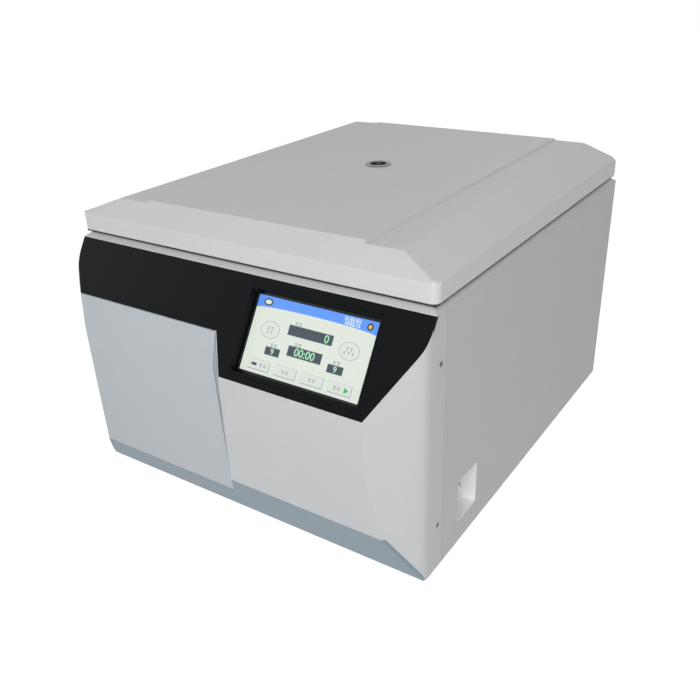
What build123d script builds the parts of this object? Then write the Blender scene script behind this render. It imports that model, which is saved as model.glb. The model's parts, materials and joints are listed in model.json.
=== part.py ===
from build123d import *
import os
from math import cos, hypot, radians, sin, tan

os.makedirs("parts", exist_ok=True)

# Cabinet sizes, in millimetres
body_width = 500.0
body_depth = 570.0
body_height = 315.0
nose_reach = 46.5
foot_height = 12.0
foot_radius = 18.0
foot_inset = 62.0
foot_screw_radius = 2.5
foot_screw_head = 3.0
foot_screw_recess = 1.0
foot_screw_proud = 3.0
foot_nut_radius = 4.5
foot_nut_height = 3.0
foot_edge_run = 3.0
foot_edge_rise = 4.0
foot_draft = 2.0
foot_well_margin = 4.0
front_corner_radius = 22.0
moulded_wall = 3.0
sheet = 2.0
base_sheet = 3.0
fit_gap = 0.3
seat_gap = 0.2
rim_edge = 1.0
rim_rise = 6.0
rim_inset = 9.0

# Front face: reaches from the front corner line, heights from the bottom edge, drops from the top
face_tilt = 32.5
knee_drop = 100.0
crease_height = 163.0
plinth_height = 69.0
plinth_reach = 35.0
step_drop = 60.0
cover_shoulder_drop = 100.0
cover_shoulder_reach = 31.0
cover_waist_height = 130.0
cover_waist_reach = 27.0
cover_foot_height = 40.0
console_width = 207.0
console_step = 20.5
seam_depth = 38.3
plate_thickness = 3.0
cover_thickness = 3.0
cover_proud = 0.8
plate_margin = 0.8

# Touch display, measured on the tilted face
screen_from_facet = 92.6
screen_up = 58.2
aperture_width = 163.5
aperture_height = 93.0
aperture_corner = 2.5
recess_depth = 12.0
tray_wall = 2.5
glass_thickness = 2.0
panel_thickness = 5.0
display_board_thickness = 1.6

# Lid
lid_gap = 3.0
lid_side_inset = 1.0
lid_front_inset = 1.3
lid_skirt = 21.5
lid_crown = 19.0
lid_front_facet = 24.0
lid_side_facet = 50.7
lid_wall = 3.0
lid_corner = 9.0
lid_plate_thickness = 2.0
panel_half_width = 153.0
panel_rise = 2.0
panel_bevel = 4.0
seal_width = 9.0

# Hinges
hinge_spacing = 300.0
hinge_axis_back = 8.0
knuckle_radius = 5.5
knuckle_length = 18.0
knuckle_count = 3
hinge_leaf = 2.0
body_leaf_height = 36.0
lid_leaf_height = 19.0
hinge_pin_radius = 3.0
hinge_axis_drop = 1.5
hinge_leaf_drop = 1.5
running_clearance = 0.05

# Chamber and drive
spindle_from_corner = 318.0
bowl_radius = 172.0
bowl_wall = 1.5
bowl_flange_overhang = 1.0
bowl_floor_height = 152.0
bowl_corner = 22.0
boot_hole_radius = 46.0
guard_wall = 8.0
guard_height = 140.0
guard_gap = 3.5
guard_post_radius = 6.0
motor_radius = 62.0
motor_height = 96.0
motor_wall = 6.0
motor_plate_size = 190.0
motor_plate_thickness = 6.0
damper_radius = 15.0
damper_height = 18.0
damper_spacing = 150.0
damper_waist = 3.0
shaft_radius = 8.0
bearing_radius = 16.0
bearing_height = 12.0
bearing_cover = 1.0
shaft_end_gap = 2.0
shaft_cap_gap = 2.0
air_gap = 1.0
armature_radius = 32.0
stator_radius = 52.0
boot_wall = 3.0
boot_foot_inset = 14.0
boot_foot_width = 6.0
boot_lip = 4.0
boot_collar_height = 8.0
boot_collar_gap = 5.0
rotor_radius = 128.0
rotor_height = 88.0
rotor_top_radius = 84.0
rotor_lift = 14.0
rotor_hub_wall = 14.0
rotor_hub_flare = 6.0
rotor_floor = 12.0
rotor_skirt_run = 20.0
rotor_skirt_height = 26.0
rotor_band_height = 40.0
rotor_top_lip = 6.0
rotor_lid_thickness = 9.0
rotor_lid_overhang = 4.0
rotor_lid_edge = 4.0
tube_count = 6
tube_radius = 15.0
tube_tilt = 35.0
tube_pitch_radius = 56.0
tube_depth = 62.0
knob_radius = 20.0
knob_height = 22.0
knob_edge = 3.0
knob_flute_count = 6
knob_flute_radius = 5.0
knob_flute_offset = 2.0
knob_foot = 4.0

# Port in the lid above the spindle
port_radius = 15.0
port_bore = 11.0
port_flange_radius = 17.5
port_proud = 1.2
port_window_thickness = 3.0
port_neck_step = 2.0
port_flange_edge = 0.72

# Lid lock
hook_spacing = 220.0
hook_from_corner = 70.0
hook_width = 18.0
hook_thickness = 4.0
hook_length = 34.0
eye_width = 10.0
eye_height = 12.0
bolt_radius = 4.0
bolt_length = 14.0
bolt_rest_gap = 2.0
slot_clearance = 4.0
lock_plate_drop = 40.0
lock_plate_depth = 44.0
lock_bar_height = 8.0
lock_bar_thickness = 4.0
lock_bar_end = 24.0
lock_arm_rise = 6.0
lock_frame_margin = 42.0
lock_motor_length = 44.0
lock_motor_front = 16.0
lock_motor_back = 8.0
lock_motor_height = 24.0
lock_gear_radius = 9.0
lock_gear_length = 30.0
lock_gear_offset = 4.0

# Side pocket with the power switch
pocket_from_corner = 77.0
pocket_width = 48.5
pocket_bottom = 29.0
pocket_height = 57.5
pocket_depth = 17.0
pocket_wall = 1.5
pocket_corner = 4.0
pocket_flange = 5.0
switch_width = 25.0
switch_height = 32.0
switch_bezel = 2.0
switch_top_gap = 0.3
switch_body_width = 22.0
switch_body_height = 28.0
switch_body_depth = 20.0
rocker_width = 18.4
rocker_half_height = 11.0
rocker_tilt = 8.0
rocker_pin_radius = 1.5
rocker_root = 3.0
rocker_skirt = 0.5
rocker_edge = 4.2
rocker_waist = 2.4
rocker_axis_depth = 2.0
rocker_end_gap = 1.4
cavity_clearance = 0.3
cavity_depth = 8.0

# Rear panel fittings
inlet_x = 150.0
inlet_height_up = 62.0
inlet_width = 31.0
inlet_height = 50.0
inlet_flange = 3.0
inlet_body_depth = 30.0
inlet_cavity_width = 25.0
inlet_cavity_height = 18.0
inlet_cavity_depth = 17.0
fuse_drawer_width = 25.0
fuse_drawer_height = 12.0
fuse_drawer_depth = 20.0
fuse_drawer_front = 2.0
fuse_drawer_margin_x = 2.0
fuse_drawer_margin_z = 1.0
cavity_rise = 6.0
cavity_margin = 1.0
drawer_rise = 3.0
inlet_pin_half_width = 1.0
inlet_pin_half_height = 2.0
inlet_pin_recess = 3.0
inlet_pin_places = ((-7.0, -4.0), (7.0, -4.0), (0.0, 4.0))
fan_x = -130.0
fan_up = 90.0
fan_size = 80.0
fan_depth = 25.0
fan_bore_radius = 37.5
fan_hub_radius = 18.0
fan_blade_count = 7
fan_blade_pitch = 38.0
fan_pin_radius = 2.0
fan_strut = 3.0
fan_pin_end_gap = 4.0
fan_impeller_end_gap = 2.0
fan_blade_thickness = 1.6
fan_blade_chord = 22.0
fan_blade_root = 3.5
fan_tip_gap = 1.5
grille_ring_count = 4
grille_wire = 2.0
grille_hub_radius = 5.0
grille_margin = 2.0
grille_inner = 6.0
vent_count = 9
vent_width = 4.0
vent_height = 46.0
vent_pitch = 9.0
vent_up = 190.0
rear_screw_inset = 14.0
rear_screw_drop = 60.0

# Boards and fasteners
board_thickness = 1.6
standoff_height = 8.0
standoff_radius = 3.0
standoff_inset = 6.0
board_from_foot = 38.0
control_board_size = (150.0, 60.0)
control_board_from_seam = 46.0
power_board_size = (120.0, 90.0)
power_board_from_seam = 60.0
heat_sink_x = -90.0
heat_sink_from_rear = 78.0
heat_sink_size = (90.0, 60.0)
heat_sink_base = 6.0
heat_sink_fins = 9
heat_sink_fin = 2.0
heat_sink_height = 30.0
filter_from_rear = 70.0
filter_size = (60.0, 40.0, 30.0)
screw_head_radius = 3.2
screw_head_height = 2.0
screw_shank_radius = 1.5
screw_shank_length = 6.0
screw_clearance = 0.15
screw_slot_half_width = 0.4
fascia_screw_from_corner = 27.5
fascia_screw_drop = 56.0
fascia_screw_low = 60.0

# Components on the boards: X and Y from the board's middle, length, width and height
control_components = (
    (-60.0, -10.0, 22.0, 22.0, 3.0),
    (-10.0, 4.0, 14.0, 14.0, 2.0),
    (30.0, -20.0, 30.0, 10.0, 9.0),
    (-25.0, -24.0, 40.0, 8.0, 9.0),
)
power_components = (
    (-50.0, -30.0, 36.0, 32.0, 30.0),
    (-4.0, -34.0, 24.0, 24.0, 34.0),
    (28.0, -34.0, 24.0, 24.0, 34.0),
    (-40.0, 14.0, 60.0, 20.0, 18.0),
)

# Datums worked out from the sizes
half_width = body_width / 2
rear_reach = hinge_axis_back + knuckle_radius
front_y = -(nose_reach + body_depth + rear_reach) / 2
corner_y = front_y + nose_reach
rear_y = corner_y + body_depth
seam_y = corner_y + seam_depth
base_z = foot_height
shoulder_z = base_z + body_height
deck_z = shoulder_z + rim_rise
deck_under_z = shoulder_z - rim_edge
lid_bottom_z = deck_z + lid_gap
lid_skirt_z = lid_bottom_z + lid_skirt
lid_top_z = lid_skirt_z + lid_crown
lid_rise = lid_skirt + lid_crown
knee_height = body_height - knee_drop
step_height = body_height - step_drop
cover_shoulder_height = body_height - cover_shoulder_drop
knee_z = base_z + knee_height
facet_x = half_width - nose_reach
split_x = facet_x - console_width
screen_x = facet_x - screen_from_facet
slope = tan(radians(face_tilt))
face_top_reach = nose_reach - slope * (body_height - knee_height)
step_reach = nose_reach - slope * (step_height - knee_height)
face_top_y = corner_y - face_top_reach
cover_foot_reach = plinth_reach * cover_foot_height / plinth_height
spindle_y = corner_y + spindle_from_corner
lid_front_y = face_top_y + lid_front_inset
lid_half_width = half_width - lid_side_inset
base_top_z = base_z + base_sheet
bowl_floor_z = base_z + bowl_floor_height
guard_inner_radius = bowl_radius + bowl_wall + guard_gap
guard_outer_radius = guard_inner_radius + guard_wall
bowl_flange_radius = guard_outer_radius + bowl_flange_overhang
foot_x = half_width - foot_inset
fascia_screw_heights = (body_height - fascia_screw_drop, fascia_screw_low)
past = 8.0
face_plane = Plane(
    origin=(0, front_y, knee_z),
    x_dir=(1, 0, 0),
    z_dir=(0, -cos(radians(face_tilt)), sin(radians(face_tilt))),
)


# Helpers
def save(shape, name):
    """Write one sub-part as its own file."""
    export_step(shape, os.path.join("parts", name + ".step"))


def shifted(points, shifts):
    """Move each side of a closed outline inwards by its own distance."""
    lines = []
    for index, (x, y) in enumerate(points):
        next_x, next_y = points[(index + 1) % len(points)]
        length = hypot(next_x - x, next_y - y)
        along = ((next_x - x) / length, (next_y - y) / length)
        shift = shifts.get(index, 0.0)
        lines.append(((x - along[1] * shift, y + along[0] * shift), along))
    corners = []
    for index, (start, along) in enumerate(lines):
        before, before_along = lines[index - 1]
        cross = before_along[0] * along[1] - before_along[1] * along[0]
        gap = (start[0] - before[0], start[1] - before[1])
        reach = (gap[0] * along[1] - gap[1] * along[0]) / cross
        corners.append((before[0] + before_along[0] * reach, before[1] + before_along[1] * reach))
    return corners


def outline(points):
    """A face inside a closed run of straight sides."""
    return make_face(Polyline(*points, close=True))


def along_x(points, low, high):
    """A prism along X over an outline of (Y, Z) points."""
    return extrude(Plane.YZ.offset(low) * outline(points), amount=high - low)


def along_y(points, low, high):
    """A prism along Y over an outline of (X, Z) points."""
    plane = Plane(origin=(0, low, 0), x_dir=(1, 0, 0), z_dir=(0, -1, 0))
    return extrude(plane * outline(points), amount=low - high)


def along_z(points, low, high, round_corner=None, radius=0.0):
    """A prism along Z over an outline of (X, Y) points, with one corner rounded if it is named."""
    face = outline(points)
    if round_corner is not None:
        corner = Vector(*points[round_corner])
        nearest = sorted(face.vertices(), key=lambda vertex: (Vector(*vertex) - corner).length)[0]
        face = fillet(nearest, radius)
    return extrude(Plane.XY.offset(low) * face, amount=high - low)


def block(x_range, y_range, z_range):
    """A box between two limits on each axis."""
    size = [limits[1] - limits[0] for limits in (x_range, y_range, z_range)]
    middle = [(limits[0] + limits[1]) / 2 for limits in (x_range, y_range, z_range)]
    return Pos(*middle) * Box(*size)


def disc(radius, low, high, x=0.0, y=0.0):
    """An upright cylinder between two heights."""
    return Pos(x, y, (low + high) / 2) * Cylinder(radius, high - low)


def rod_x(radius, low, high, y, z):
    """A cylinder along X."""
    return Pos((low + high) / 2, y, z) * Rot(0, 90, 0) * Cylinder(radius, high - low)


def rod_y(radius, low, high, x, z):
    """A cylinder along Y."""
    return Pos(x, (low + high) / 2, z) * Rot(90, 0, 0) * Cylinder(radius, high - low)


def turned(points, y=0.0):
    """A ring or cup turned about an upright axis from (radius, Z) points."""
    return Pos(0, y, 0) * revolve(Plane.XZ * outline(points), Axis.Z)


def group(shapes):
    """Separate solids kept together in one node."""
    return Compound(children=list(shapes))


# Front zones: the console on the right and the cover panel on the left
right_profile = [
    (corner_y, base_z),
    (seam_y, base_z),
    (seam_y, shoulder_z - rim_edge),
    (face_top_y + slope * -rim_edge, shoulder_z - rim_edge),
    (front_y, knee_z),
    (front_y, base_z + crease_height),
    (corner_y - plinth_reach, base_z + plinth_height),
]
left_profile = [
    (corner_y, base_z),
    (seam_y, base_z),
    (seam_y, shoulder_z - rim_edge),
    (face_top_y + slope * -rim_edge, shoulder_z - rim_edge),
    (corner_y - step_reach, base_z + step_height),
    (corner_y - cover_shoulder_reach, base_z + cover_shoulder_height),
    (corner_y - cover_waist_reach, base_z + cover_waist_height),
    (corner_y - cover_foot_reach, base_z + cover_foot_height),
]
right_plan = [
    (split_x + console_step, front_y),
    (facet_x, front_y),
    (half_width, corner_y),
    (half_width, seam_y),
    (split_x, seam_y),
    (split_x, corner_y - step_reach),
]
left_plan = [
    (-facet_x, front_y),
    (split_x, front_y),
    (split_x, seam_y),
    (-half_width, seam_y),
    (-half_width, corner_y),
]
front_limits = (-half_width - past, half_width + past)


def right_zone(profile_shifts, plan_shifts):
    """The console's volume, with chosen sides moved inwards."""
    side = along_x(shifted(right_profile, profile_shifts), *front_limits)
    corners = shifted(right_plan, plan_shifts)
    radius = front_corner_radius - plan_shifts.get(1, 0.0)
    plan = along_z(corners, base_z - past, shoulder_z + past, 2, radius)
    return side & plan


def left_zone(profile_shifts, plan_shifts):
    """The volume behind the left cover, with chosen sides moved inwards."""
    side = along_x(shifted(left_profile, profile_shifts), *front_limits)
    corners = shifted(left_plan, plan_shifts)
    radius = front_corner_radius - plan_shifts.get(4, 0.0)
    plan = along_z(corners, base_z - past, shoulder_z + past, 4, radius)
    return side & plan


def band(low, high):
    """Everything at the front between two heights over the bottom edge."""
    return block(front_limits, (front_y - past, seam_y + past), (base_z + low, base_z + high))


def face_block(width, height, low, high, corner=0.0):
    """A block on the tilted face, centred on the screen, between two depths."""
    shape = RectangleRounded(width, height, corner) if corner else Rectangle(width, height)
    return extrude((face_plane * Pos(screen_x, screen_up, low)) * shape, amount=high - low)


plate_plan = {1: plate_margin, 5: plate_margin}
right_face = right_zone({}, plate_plan) - right_zone({3: plate_thickness}, {})
right_face = right_face & band(knee_height + plate_margin, body_height)
left_face = left_zone({}, {4: plate_margin}) - left_zone({3: plate_thickness}, {})
left_face = left_face & band(step_height + plate_margin, body_height)
face_slab = right_face + left_face

plinth_slab = right_zone({}, {}) - right_zone({6: plate_thickness}, {})
plinth_slab = plinth_slab & band(0, plinth_height - plate_margin)
plinth_left = left_zone({}, {}) - left_zone({7: plate_thickness}, {})
plinth_slab = plinth_slab + (plinth_left & band(0, cover_foot_height - plate_margin))

cover_out = {4: -cover_proud, 5: -cover_proud, 6: -cover_proud}
cover_in = {4: cover_thickness, 5: cover_thickness, 6: cover_thickness}
cover_plan = {1: plate_margin, 4: plate_margin}
cover_slab = left_zone(cover_out, cover_plan) - left_zone(cover_in, {})
cover_slab = cover_slab & band(cover_foot_height, step_height)

backed_wall = plate_thickness + moulded_wall
covered_wall = cover_thickness + moulded_wall
wall_overlap = 1.0
right_inner = right_zone(
    {0: -past, 1: -past, 2: -past, 3: backed_wall, 4: moulded_wall, 5: moulded_wall, 6: backed_wall},
    {0: moulded_wall, 1: moulded_wall, 2: moulded_wall, 3: -past, 4: moulded_wall, 5: moulded_wall},
)
left_inner = left_zone(
    {0: -past, 1: -past, 2: -past, 3: backed_wall, 4: covered_wall, 5: covered_wall, 6: covered_wall,
     7: backed_wall},
    {0: moulded_wall, 1: -moulded_wall - wall_overlap, 2: -past, 3: moulded_wall, 4: moulded_wall},
)


# Front moulding and its plates
def make_front_fascia():
    shell = right_zone({}, {}) + left_zone(cover_in, {})
    shell = shell - right_inner - left_inner
    shell = shell - face_slab - plinth_slab - cover_slab
    tray_hole = face_block(
        aperture_width + 2 * (tray_wall + seat_gap),
        aperture_height + 2 * (tray_wall + seat_gap),
        -recess_depth - past - past,
        past,
    )
    shell = shell - tray_hole
    for x_side in (-1, 1):
        for height in fascia_screw_heights:
            shell = shell - screw_hole_x(x_side, corner_y + fascia_screw_from_corner, height)
    return shell


def screw_hole_x(side, y, height):
    """The stepped hole for a flush screw in a side wall."""
    outer = side * half_width
    head = rod_x(
        screw_head_radius + screw_clearance,
        *sorted((outer + side, outer - side * screw_head_height)),
        y,
        base_z + height,
    )
    shank = rod_x(
        screw_shank_radius + screw_clearance,
        *sorted((outer + side, outer - side * (moulded_wall + 1))),
        y,
        base_z + height,
    )
    return head + shank


def screw_x(side, y, height):
    """A flush screw in a side wall."""
    outer = side * half_width
    head = rod_x(
        screw_head_radius,
        *sorted((outer - side * seat_gap, outer - side * screw_head_height)),
        y,
        base_z + height,
    )
    slot = block(
        sorted((outer + side, outer - side)),
        (y - screw_head_radius / 2, y + screw_head_radius / 2),
        (base_z + height - screw_slot_half_width, base_z + height + screw_slot_half_width),
    )
    shank = rod_x(
        screw_shank_radius,
        *sorted((outer - side, outer - side * screw_shank_length)),
        y,
        base_z + height,
    )
    return head + shank - slot


def make_console_plate():
    window = face_block(
        aperture_width + 2 * (tray_wall + seat_gap),
        aperture_height + 2 * (tray_wall + seat_gap),
        -recess_depth,
        past,
    )
    return face_slab - window


def make_display_tray():
    outer = face_block(
        aperture_width + 2 * tray_wall,
        aperture_height + 2 * tray_wall,
        -recess_depth - glass_thickness - panel_thickness,
        0,
    )
    well = face_block(aperture_width, aperture_height, -recess_depth, past, aperture_corner)
    seat = face_block(
        aperture_width - tray_wall,
        aperture_height - tray_wall,
        -recess_depth - glass_thickness - panel_thickness - 1,
        -recess_depth + 1,
    )
    return outer - well - seat


def make_display_glass():
    return face_block(
        aperture_width - tray_wall - 2 * seat_gap,
        aperture_height - tray_wall - 2 * seat_gap,
        -recess_depth - glass_thickness,
        -recess_depth,
    )


def make_display_panel():
    return face_block(
        aperture_width - tray_wall - 2 * seat_gap,
        aperture_height - tray_wall - 2 * seat_gap,
        -recess_depth - glass_thickness - panel_thickness,
        -recess_depth - glass_thickness,
    )


def make_display_board():
    top = -recess_depth - glass_thickness - panel_thickness
    return face_block(
        aperture_width + tray_wall,
        aperture_height,
        top - display_board_thickness,
        top,
    )


# Cabinet of sheet metal
def make_side_panel(side):
    outer = side * half_width
    inner = side * (half_width - sheet)
    panel = block(
        sorted((outer, inner)), (seam_y + rim_edge, rear_y), (base_z, deck_under_z)
    )
    if side > 0:
        panel = panel - pocket_block(0, -past, 2 * past)
    return panel


def pocket_block(grow, low, high):
    """The pocket's outline as a block between two depths behind the side panel."""
    middle_y = corner_y + pocket_from_corner + pocket_width / 2
    middle_z = base_z + pocket_bottom + pocket_height / 2
    plane = Plane(origin=(half_width, middle_y, middle_z), x_dir=(0, 1, 0), z_dir=(1, 0, 0))
    shape = RectangleRounded(
        pocket_width + 2 * grow, pocket_height + 2 * grow, max(pocket_corner + grow, 0.5)
    )
    return extrude((plane * Pos(0, 0, -high)) * shape, amount=high - low)


def make_rear_panel():
    panel = block(
        (-half_width + sheet, half_width - sheet), (rear_y - sheet, rear_y), (base_z, deck_under_z)
    )
    panel = panel - rod_y(fan_bore_radius, rear_y - past, rear_y + past, fan_x, base_z + fan_up)
    panel = panel - block(
        (inlet_x - inlet_width / 2 + inlet_flange, inlet_x + inlet_width / 2 - inlet_flange),
        (rear_y - past, rear_y + past),
        (
            base_z + inlet_height_up - inlet_height / 2 + inlet_flange,
            base_z + inlet_height_up + inlet_height / 2 - inlet_flange,
        ),
    )
    for index in range(vent_count):
        x = (index - (vent_count - 1) / 2) * vent_pitch
        slot = SlotOverall(vent_height, vent_width, rotation=90)
        plane = Plane(
            origin=(x, rear_y + past, base_z + vent_up), x_dir=(1, 0, 0), z_dir=(0, -1, 0)
        )
        panel = panel - extrude(plane * slot, amount=3 * past)
    for x, z in rear_screw_places():
        panel = panel - rod_y(
            screw_shank_radius + screw_clearance, rear_y - past, rear_y + past, x, z
        )
    return panel


def rear_screw_places():
    """Where the rear panel's screws stand."""
    reach = half_width - rear_screw_inset
    low = base_z + rear_screw_inset
    high = deck_under_z - rear_screw_drop
    return [(side * reach, low + (high - low) * step / 2) for side in (-1, 1) for step in range(3)]


def make_rear_screws():
    screws = []
    for x, z in rear_screw_places():
        head = rod_y(screw_head_radius, rear_y, rear_y + screw_head_height, x, z)
        shank = rod_y(screw_shank_radius, rear_y - screw_shank_length, rear_y, x, z)
        drive = rod_y(screw_shank_radius / 2, rear_y + 1, rear_y + past, x, z)
        screws.append(head + shank - drive)
    return group(screws)


def make_base_plate():
    front = corner_y + past
    side = half_width - moulded_wall - fit_gap
    plate = block((-side, side), (front, rear_y - sheet - fit_gap), (base_z, base_top_z))
    for x, y in foot_places():
        plate = plate - disc(foot_screw_radius, base_z - 1, base_top_z + 1, x, y)
    return plate


def foot_places():
    """Where the four feet stand."""
    front = corner_y + foot_inset
    back = rear_y - foot_inset
    return [(x, y) for x in (-foot_x, foot_x) for y in (front, back)]


def make_rubber_feet():
    feet = []
    for x, y in foot_places():
        cone = [
            (foot_screw_radius, 0),
            (foot_radius - foot_edge_run, 0),
            (foot_radius, foot_edge_rise),
            (foot_radius - foot_draft, foot_height),
            (foot_screw_radius, foot_height),
        ]
        well = disc(foot_screw_radius + foot_well_margin, -1, foot_screw_recess + foot_screw_head)
        feet.append(Pos(x, y, 0) * (turned(cone) - well))
    return group(feet)


def make_foot_screws():
    screws = []
    for x, y in foot_places():
        head_top = foot_screw_recess + foot_screw_head
        head = disc(foot_screw_radius + foot_screw_head, foot_screw_recess, head_top, x, y)
        shank = disc(foot_screw_radius, head_top, base_top_z + foot_screw_proud, x, y)
        screws.append(head + shank)
    return group(screws)


def make_foot_nuts():
    nuts = []
    for x, y in foot_places():
        face = Plane.XY.offset(base_top_z) * RegularPolygon(foot_nut_radius, 6)
        nut = extrude(face, amount=foot_nut_height)
        nuts.append(Pos(x, y, 0) * nut - disc(foot_screw_radius, 0, base_top_z + past, x, y))
    return group(nuts)


def make_top_deck():
    corners = [
        (-half_width, face_top_y),
        (half_width, face_top_y),
        (half_width, rear_y),
        (-half_width, rear_y),
    ]
    low = along_z(corners, deck_under_z, shoulder_z)
    rim = extrude(
        Plane.XY.offset(shoulder_z) * outline(corners),
        amount=rim_rise,
        taper=taper_angle(rim_inset, rim_rise),
    )
    deck = low + rim
    deck = deck - disc(bowl_radius + bowl_wall + fit_gap, 0, deck_z + past, 0, spindle_y)
    flange_radius = bowl_flange_radius + fit_gap
    deck = deck - disc(flange_radius, deck_z - bowl_wall, deck_z + past, 0, spindle_y)
    for x in hook_places():
        deck = deck - hook_slot(x)
    return deck


def taper_angle(run, rise):
    """The angle from upright of a slope with this run and rise."""
    return Vector(0, 1).get_angle(Vector(run, rise))


def hook_places():
    """Where the two lid hooks stand across the width."""
    return (-hook_spacing / 2, hook_spacing / 2)


def hook_slot(x):
    """The slot in the deck that a lid hook goes down through."""
    y = corner_y + hook_from_corner
    reach_x = hook_thickness / 2 + slot_clearance / 2
    reach_y = hook_width / 2 + slot_clearance
    limits_y = (y - reach_y, y + reach_y)
    return block((x - reach_x, x + reach_x), limits_y, (deck_under_z - 1, deck_z + 1))


# Chamber
def make_chamber_bowl():
    inner = bowl_radius
    outer = bowl_radius + bowl_wall
    top = deck_z
    floor = bowl_floor_z
    arc_in = RadiusArc((inner, floor + bowl_corner), (inner - bowl_corner, floor), bowl_corner)
    arc_out = RadiusArc(
        (inner - bowl_corner, floor - bowl_wall),
        (outer, floor + bowl_corner),
        -bowl_corner - bowl_wall,
    )
    edges = [
        Line((boot_hole_radius, floor), (boot_hole_radius, floor - bowl_wall)),
        Line((boot_hole_radius, floor - bowl_wall), (inner - bowl_corner, floor - bowl_wall)),
        arc_out,
        Line((outer, floor + bowl_corner), (outer, top - bowl_wall)),
        Line((outer, top - bowl_wall), (bowl_flange_radius, top - bowl_wall)),
        Line((bowl_flange_radius, top - bowl_wall), (bowl_flange_radius, top)),
        Line((bowl_flange_radius, top), (inner, top)),
        Line((inner, top), (inner, floor + bowl_corner)),
        arc_in,
        Line((inner - bowl_corner, floor), (boot_hole_radius, floor)),
    ]
    section = Plane.XZ * make_face(edges)
    return Pos(0, spindle_y, 0) * revolve(section, Axis.Z)


def make_guard_ring():
    low = deck_under_z - guard_height
    ring = disc(guard_outer_radius, low, deck_under_z, 0, spindle_y)
    return ring - disc(guard_inner_radius, low - 1, deck_under_z + 1, 0, spindle_y)


def make_guard_posts():
    posts = []
    reach = guard_inner_radius + guard_wall / 2
    for direction in range(4):
        x = reach * cos(radians(45 + 90 * direction))
        y = spindle_y + reach * sin(radians(45 + 90 * direction))
        posts.append(disc(guard_post_radius, base_top_z, deck_under_z - guard_height, x, y))
    return group(posts)


# Drive
motor_plate_z = base_top_z + damper_height
motor_low_z = motor_plate_z + motor_plate_thickness
motor_top_z = motor_low_z + motor_height
low_bearing_z = motor_low_z + bearing_cover
high_bearing_z = motor_top_z - bearing_cover


def damper_places():
    """Where the motor's rubber dampers stand."""
    reach = damper_spacing / 2
    return [(x, spindle_y + y) for x in (-reach, reach) for y in (-reach, reach)]


def make_motor_dampers():
    dampers = []
    for x, y in damper_places():
        waist = [
            (0, base_top_z),
            (damper_radius, base_top_z),
            (damper_radius - damper_waist, base_top_z + damper_height / 2),
            (damper_radius, motor_plate_z),
            (0, motor_plate_z),
        ]
        dampers.append(Pos(x, y, 0) * turned(waist))
    return group(dampers)


def make_motor_plate():
    reach = motor_plate_size / 2
    return block(
        (-reach, reach), (spindle_y - reach, spindle_y + reach), (motor_plate_z, motor_low_z)
    )


def make_motor_housing():
    cup = disc(motor_radius, motor_low_z, motor_top_z - motor_wall, 0, spindle_y)
    hollow = disc(stator_radius, motor_low_z + motor_wall, motor_top_z, 0, spindle_y)
    seat = disc(bearing_radius, low_bearing_z, motor_top_z, 0, spindle_y)
    boss_radius = bearing_radius + motor_wall
    boss = disc(boss_radius, motor_low_z, low_bearing_z + bearing_height, 0, spindle_y)
    return cup - hollow + boss - seat


def make_motor_cap():
    cap = disc(motor_radius, motor_top_z - motor_wall, motor_top_z, 0, spindle_y)
    boss_radius = bearing_radius + motor_wall
    boss = disc(boss_radius, high_bearing_z - bearing_height, motor_top_z, 0, spindle_y)
    bore = disc(shaft_radius + shaft_cap_gap, motor_low_z, motor_top_z + 1, 0, spindle_y)
    seat = disc(bearing_radius, motor_low_z, high_bearing_z, 0, spindle_y)
    return cap + boss - seat - bore


def make_motor_bearings():
    rings = []
    bore_radius = shaft_radius + running_clearance
    for low in (low_bearing_z, high_bearing_z - bearing_height):
        ring = disc(bearing_radius, low, low + bearing_height, 0, spindle_y)
        rings.append(ring - disc(bore_radius, low - 1, low + bearing_height + 1, 0, spindle_y))
    return group(rings)


def make_motor_stator():
    low = motor_low_z + motor_wall + bearing_height
    high = motor_top_z - motor_wall - bearing_height
    ring = disc(stator_radius, low, high, 0, spindle_y)
    return ring - disc(armature_radius + air_gap, low - 1, high + 1, 0, spindle_y)


rotor_low_z = bowl_floor_z + rotor_lift
rotor_top_z = rotor_low_z + rotor_height
rotor_lid_top_z = rotor_top_z + rotor_lid_thickness


def make_motor_shaft():
    shaft = disc(shaft_radius, motor_low_z + shaft_end_gap, rotor_lid_top_z, 0, spindle_y)
    low = motor_low_z + motor_wall + bearing_height + shaft_end_gap
    high = motor_top_z - motor_wall - bearing_height - shaft_end_gap
    return shaft + disc(armature_radius, low, high, 0, spindle_y)


def make_spindle_boot():
    low = motor_top_z
    high = bowl_floor_z
    collar = shaft_radius + boot_collar_gap
    foot = motor_radius - boot_foot_inset
    profile = [
        (foot - boot_foot_width, low),
        (foot, low),
        (foot, low + boot_wall),
        (boot_hole_radius, high - bowl_wall - boot_wall),
        (boot_hole_radius + boot_lip, high - bowl_wall),
        (boot_hole_radius, high - bowl_wall),
        (boot_hole_radius, high),
        (boot_hole_radius + boot_lip, high),
        (collar + boot_wall, high + boot_collar_height),
        (collar, high + boot_collar_height),
        (collar, high + boot_collar_height - boot_wall),
        (boot_hole_radius - boot_wall, high - bowl_wall - boot_wall),
    ]
    return turned(profile, spindle_y)


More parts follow.
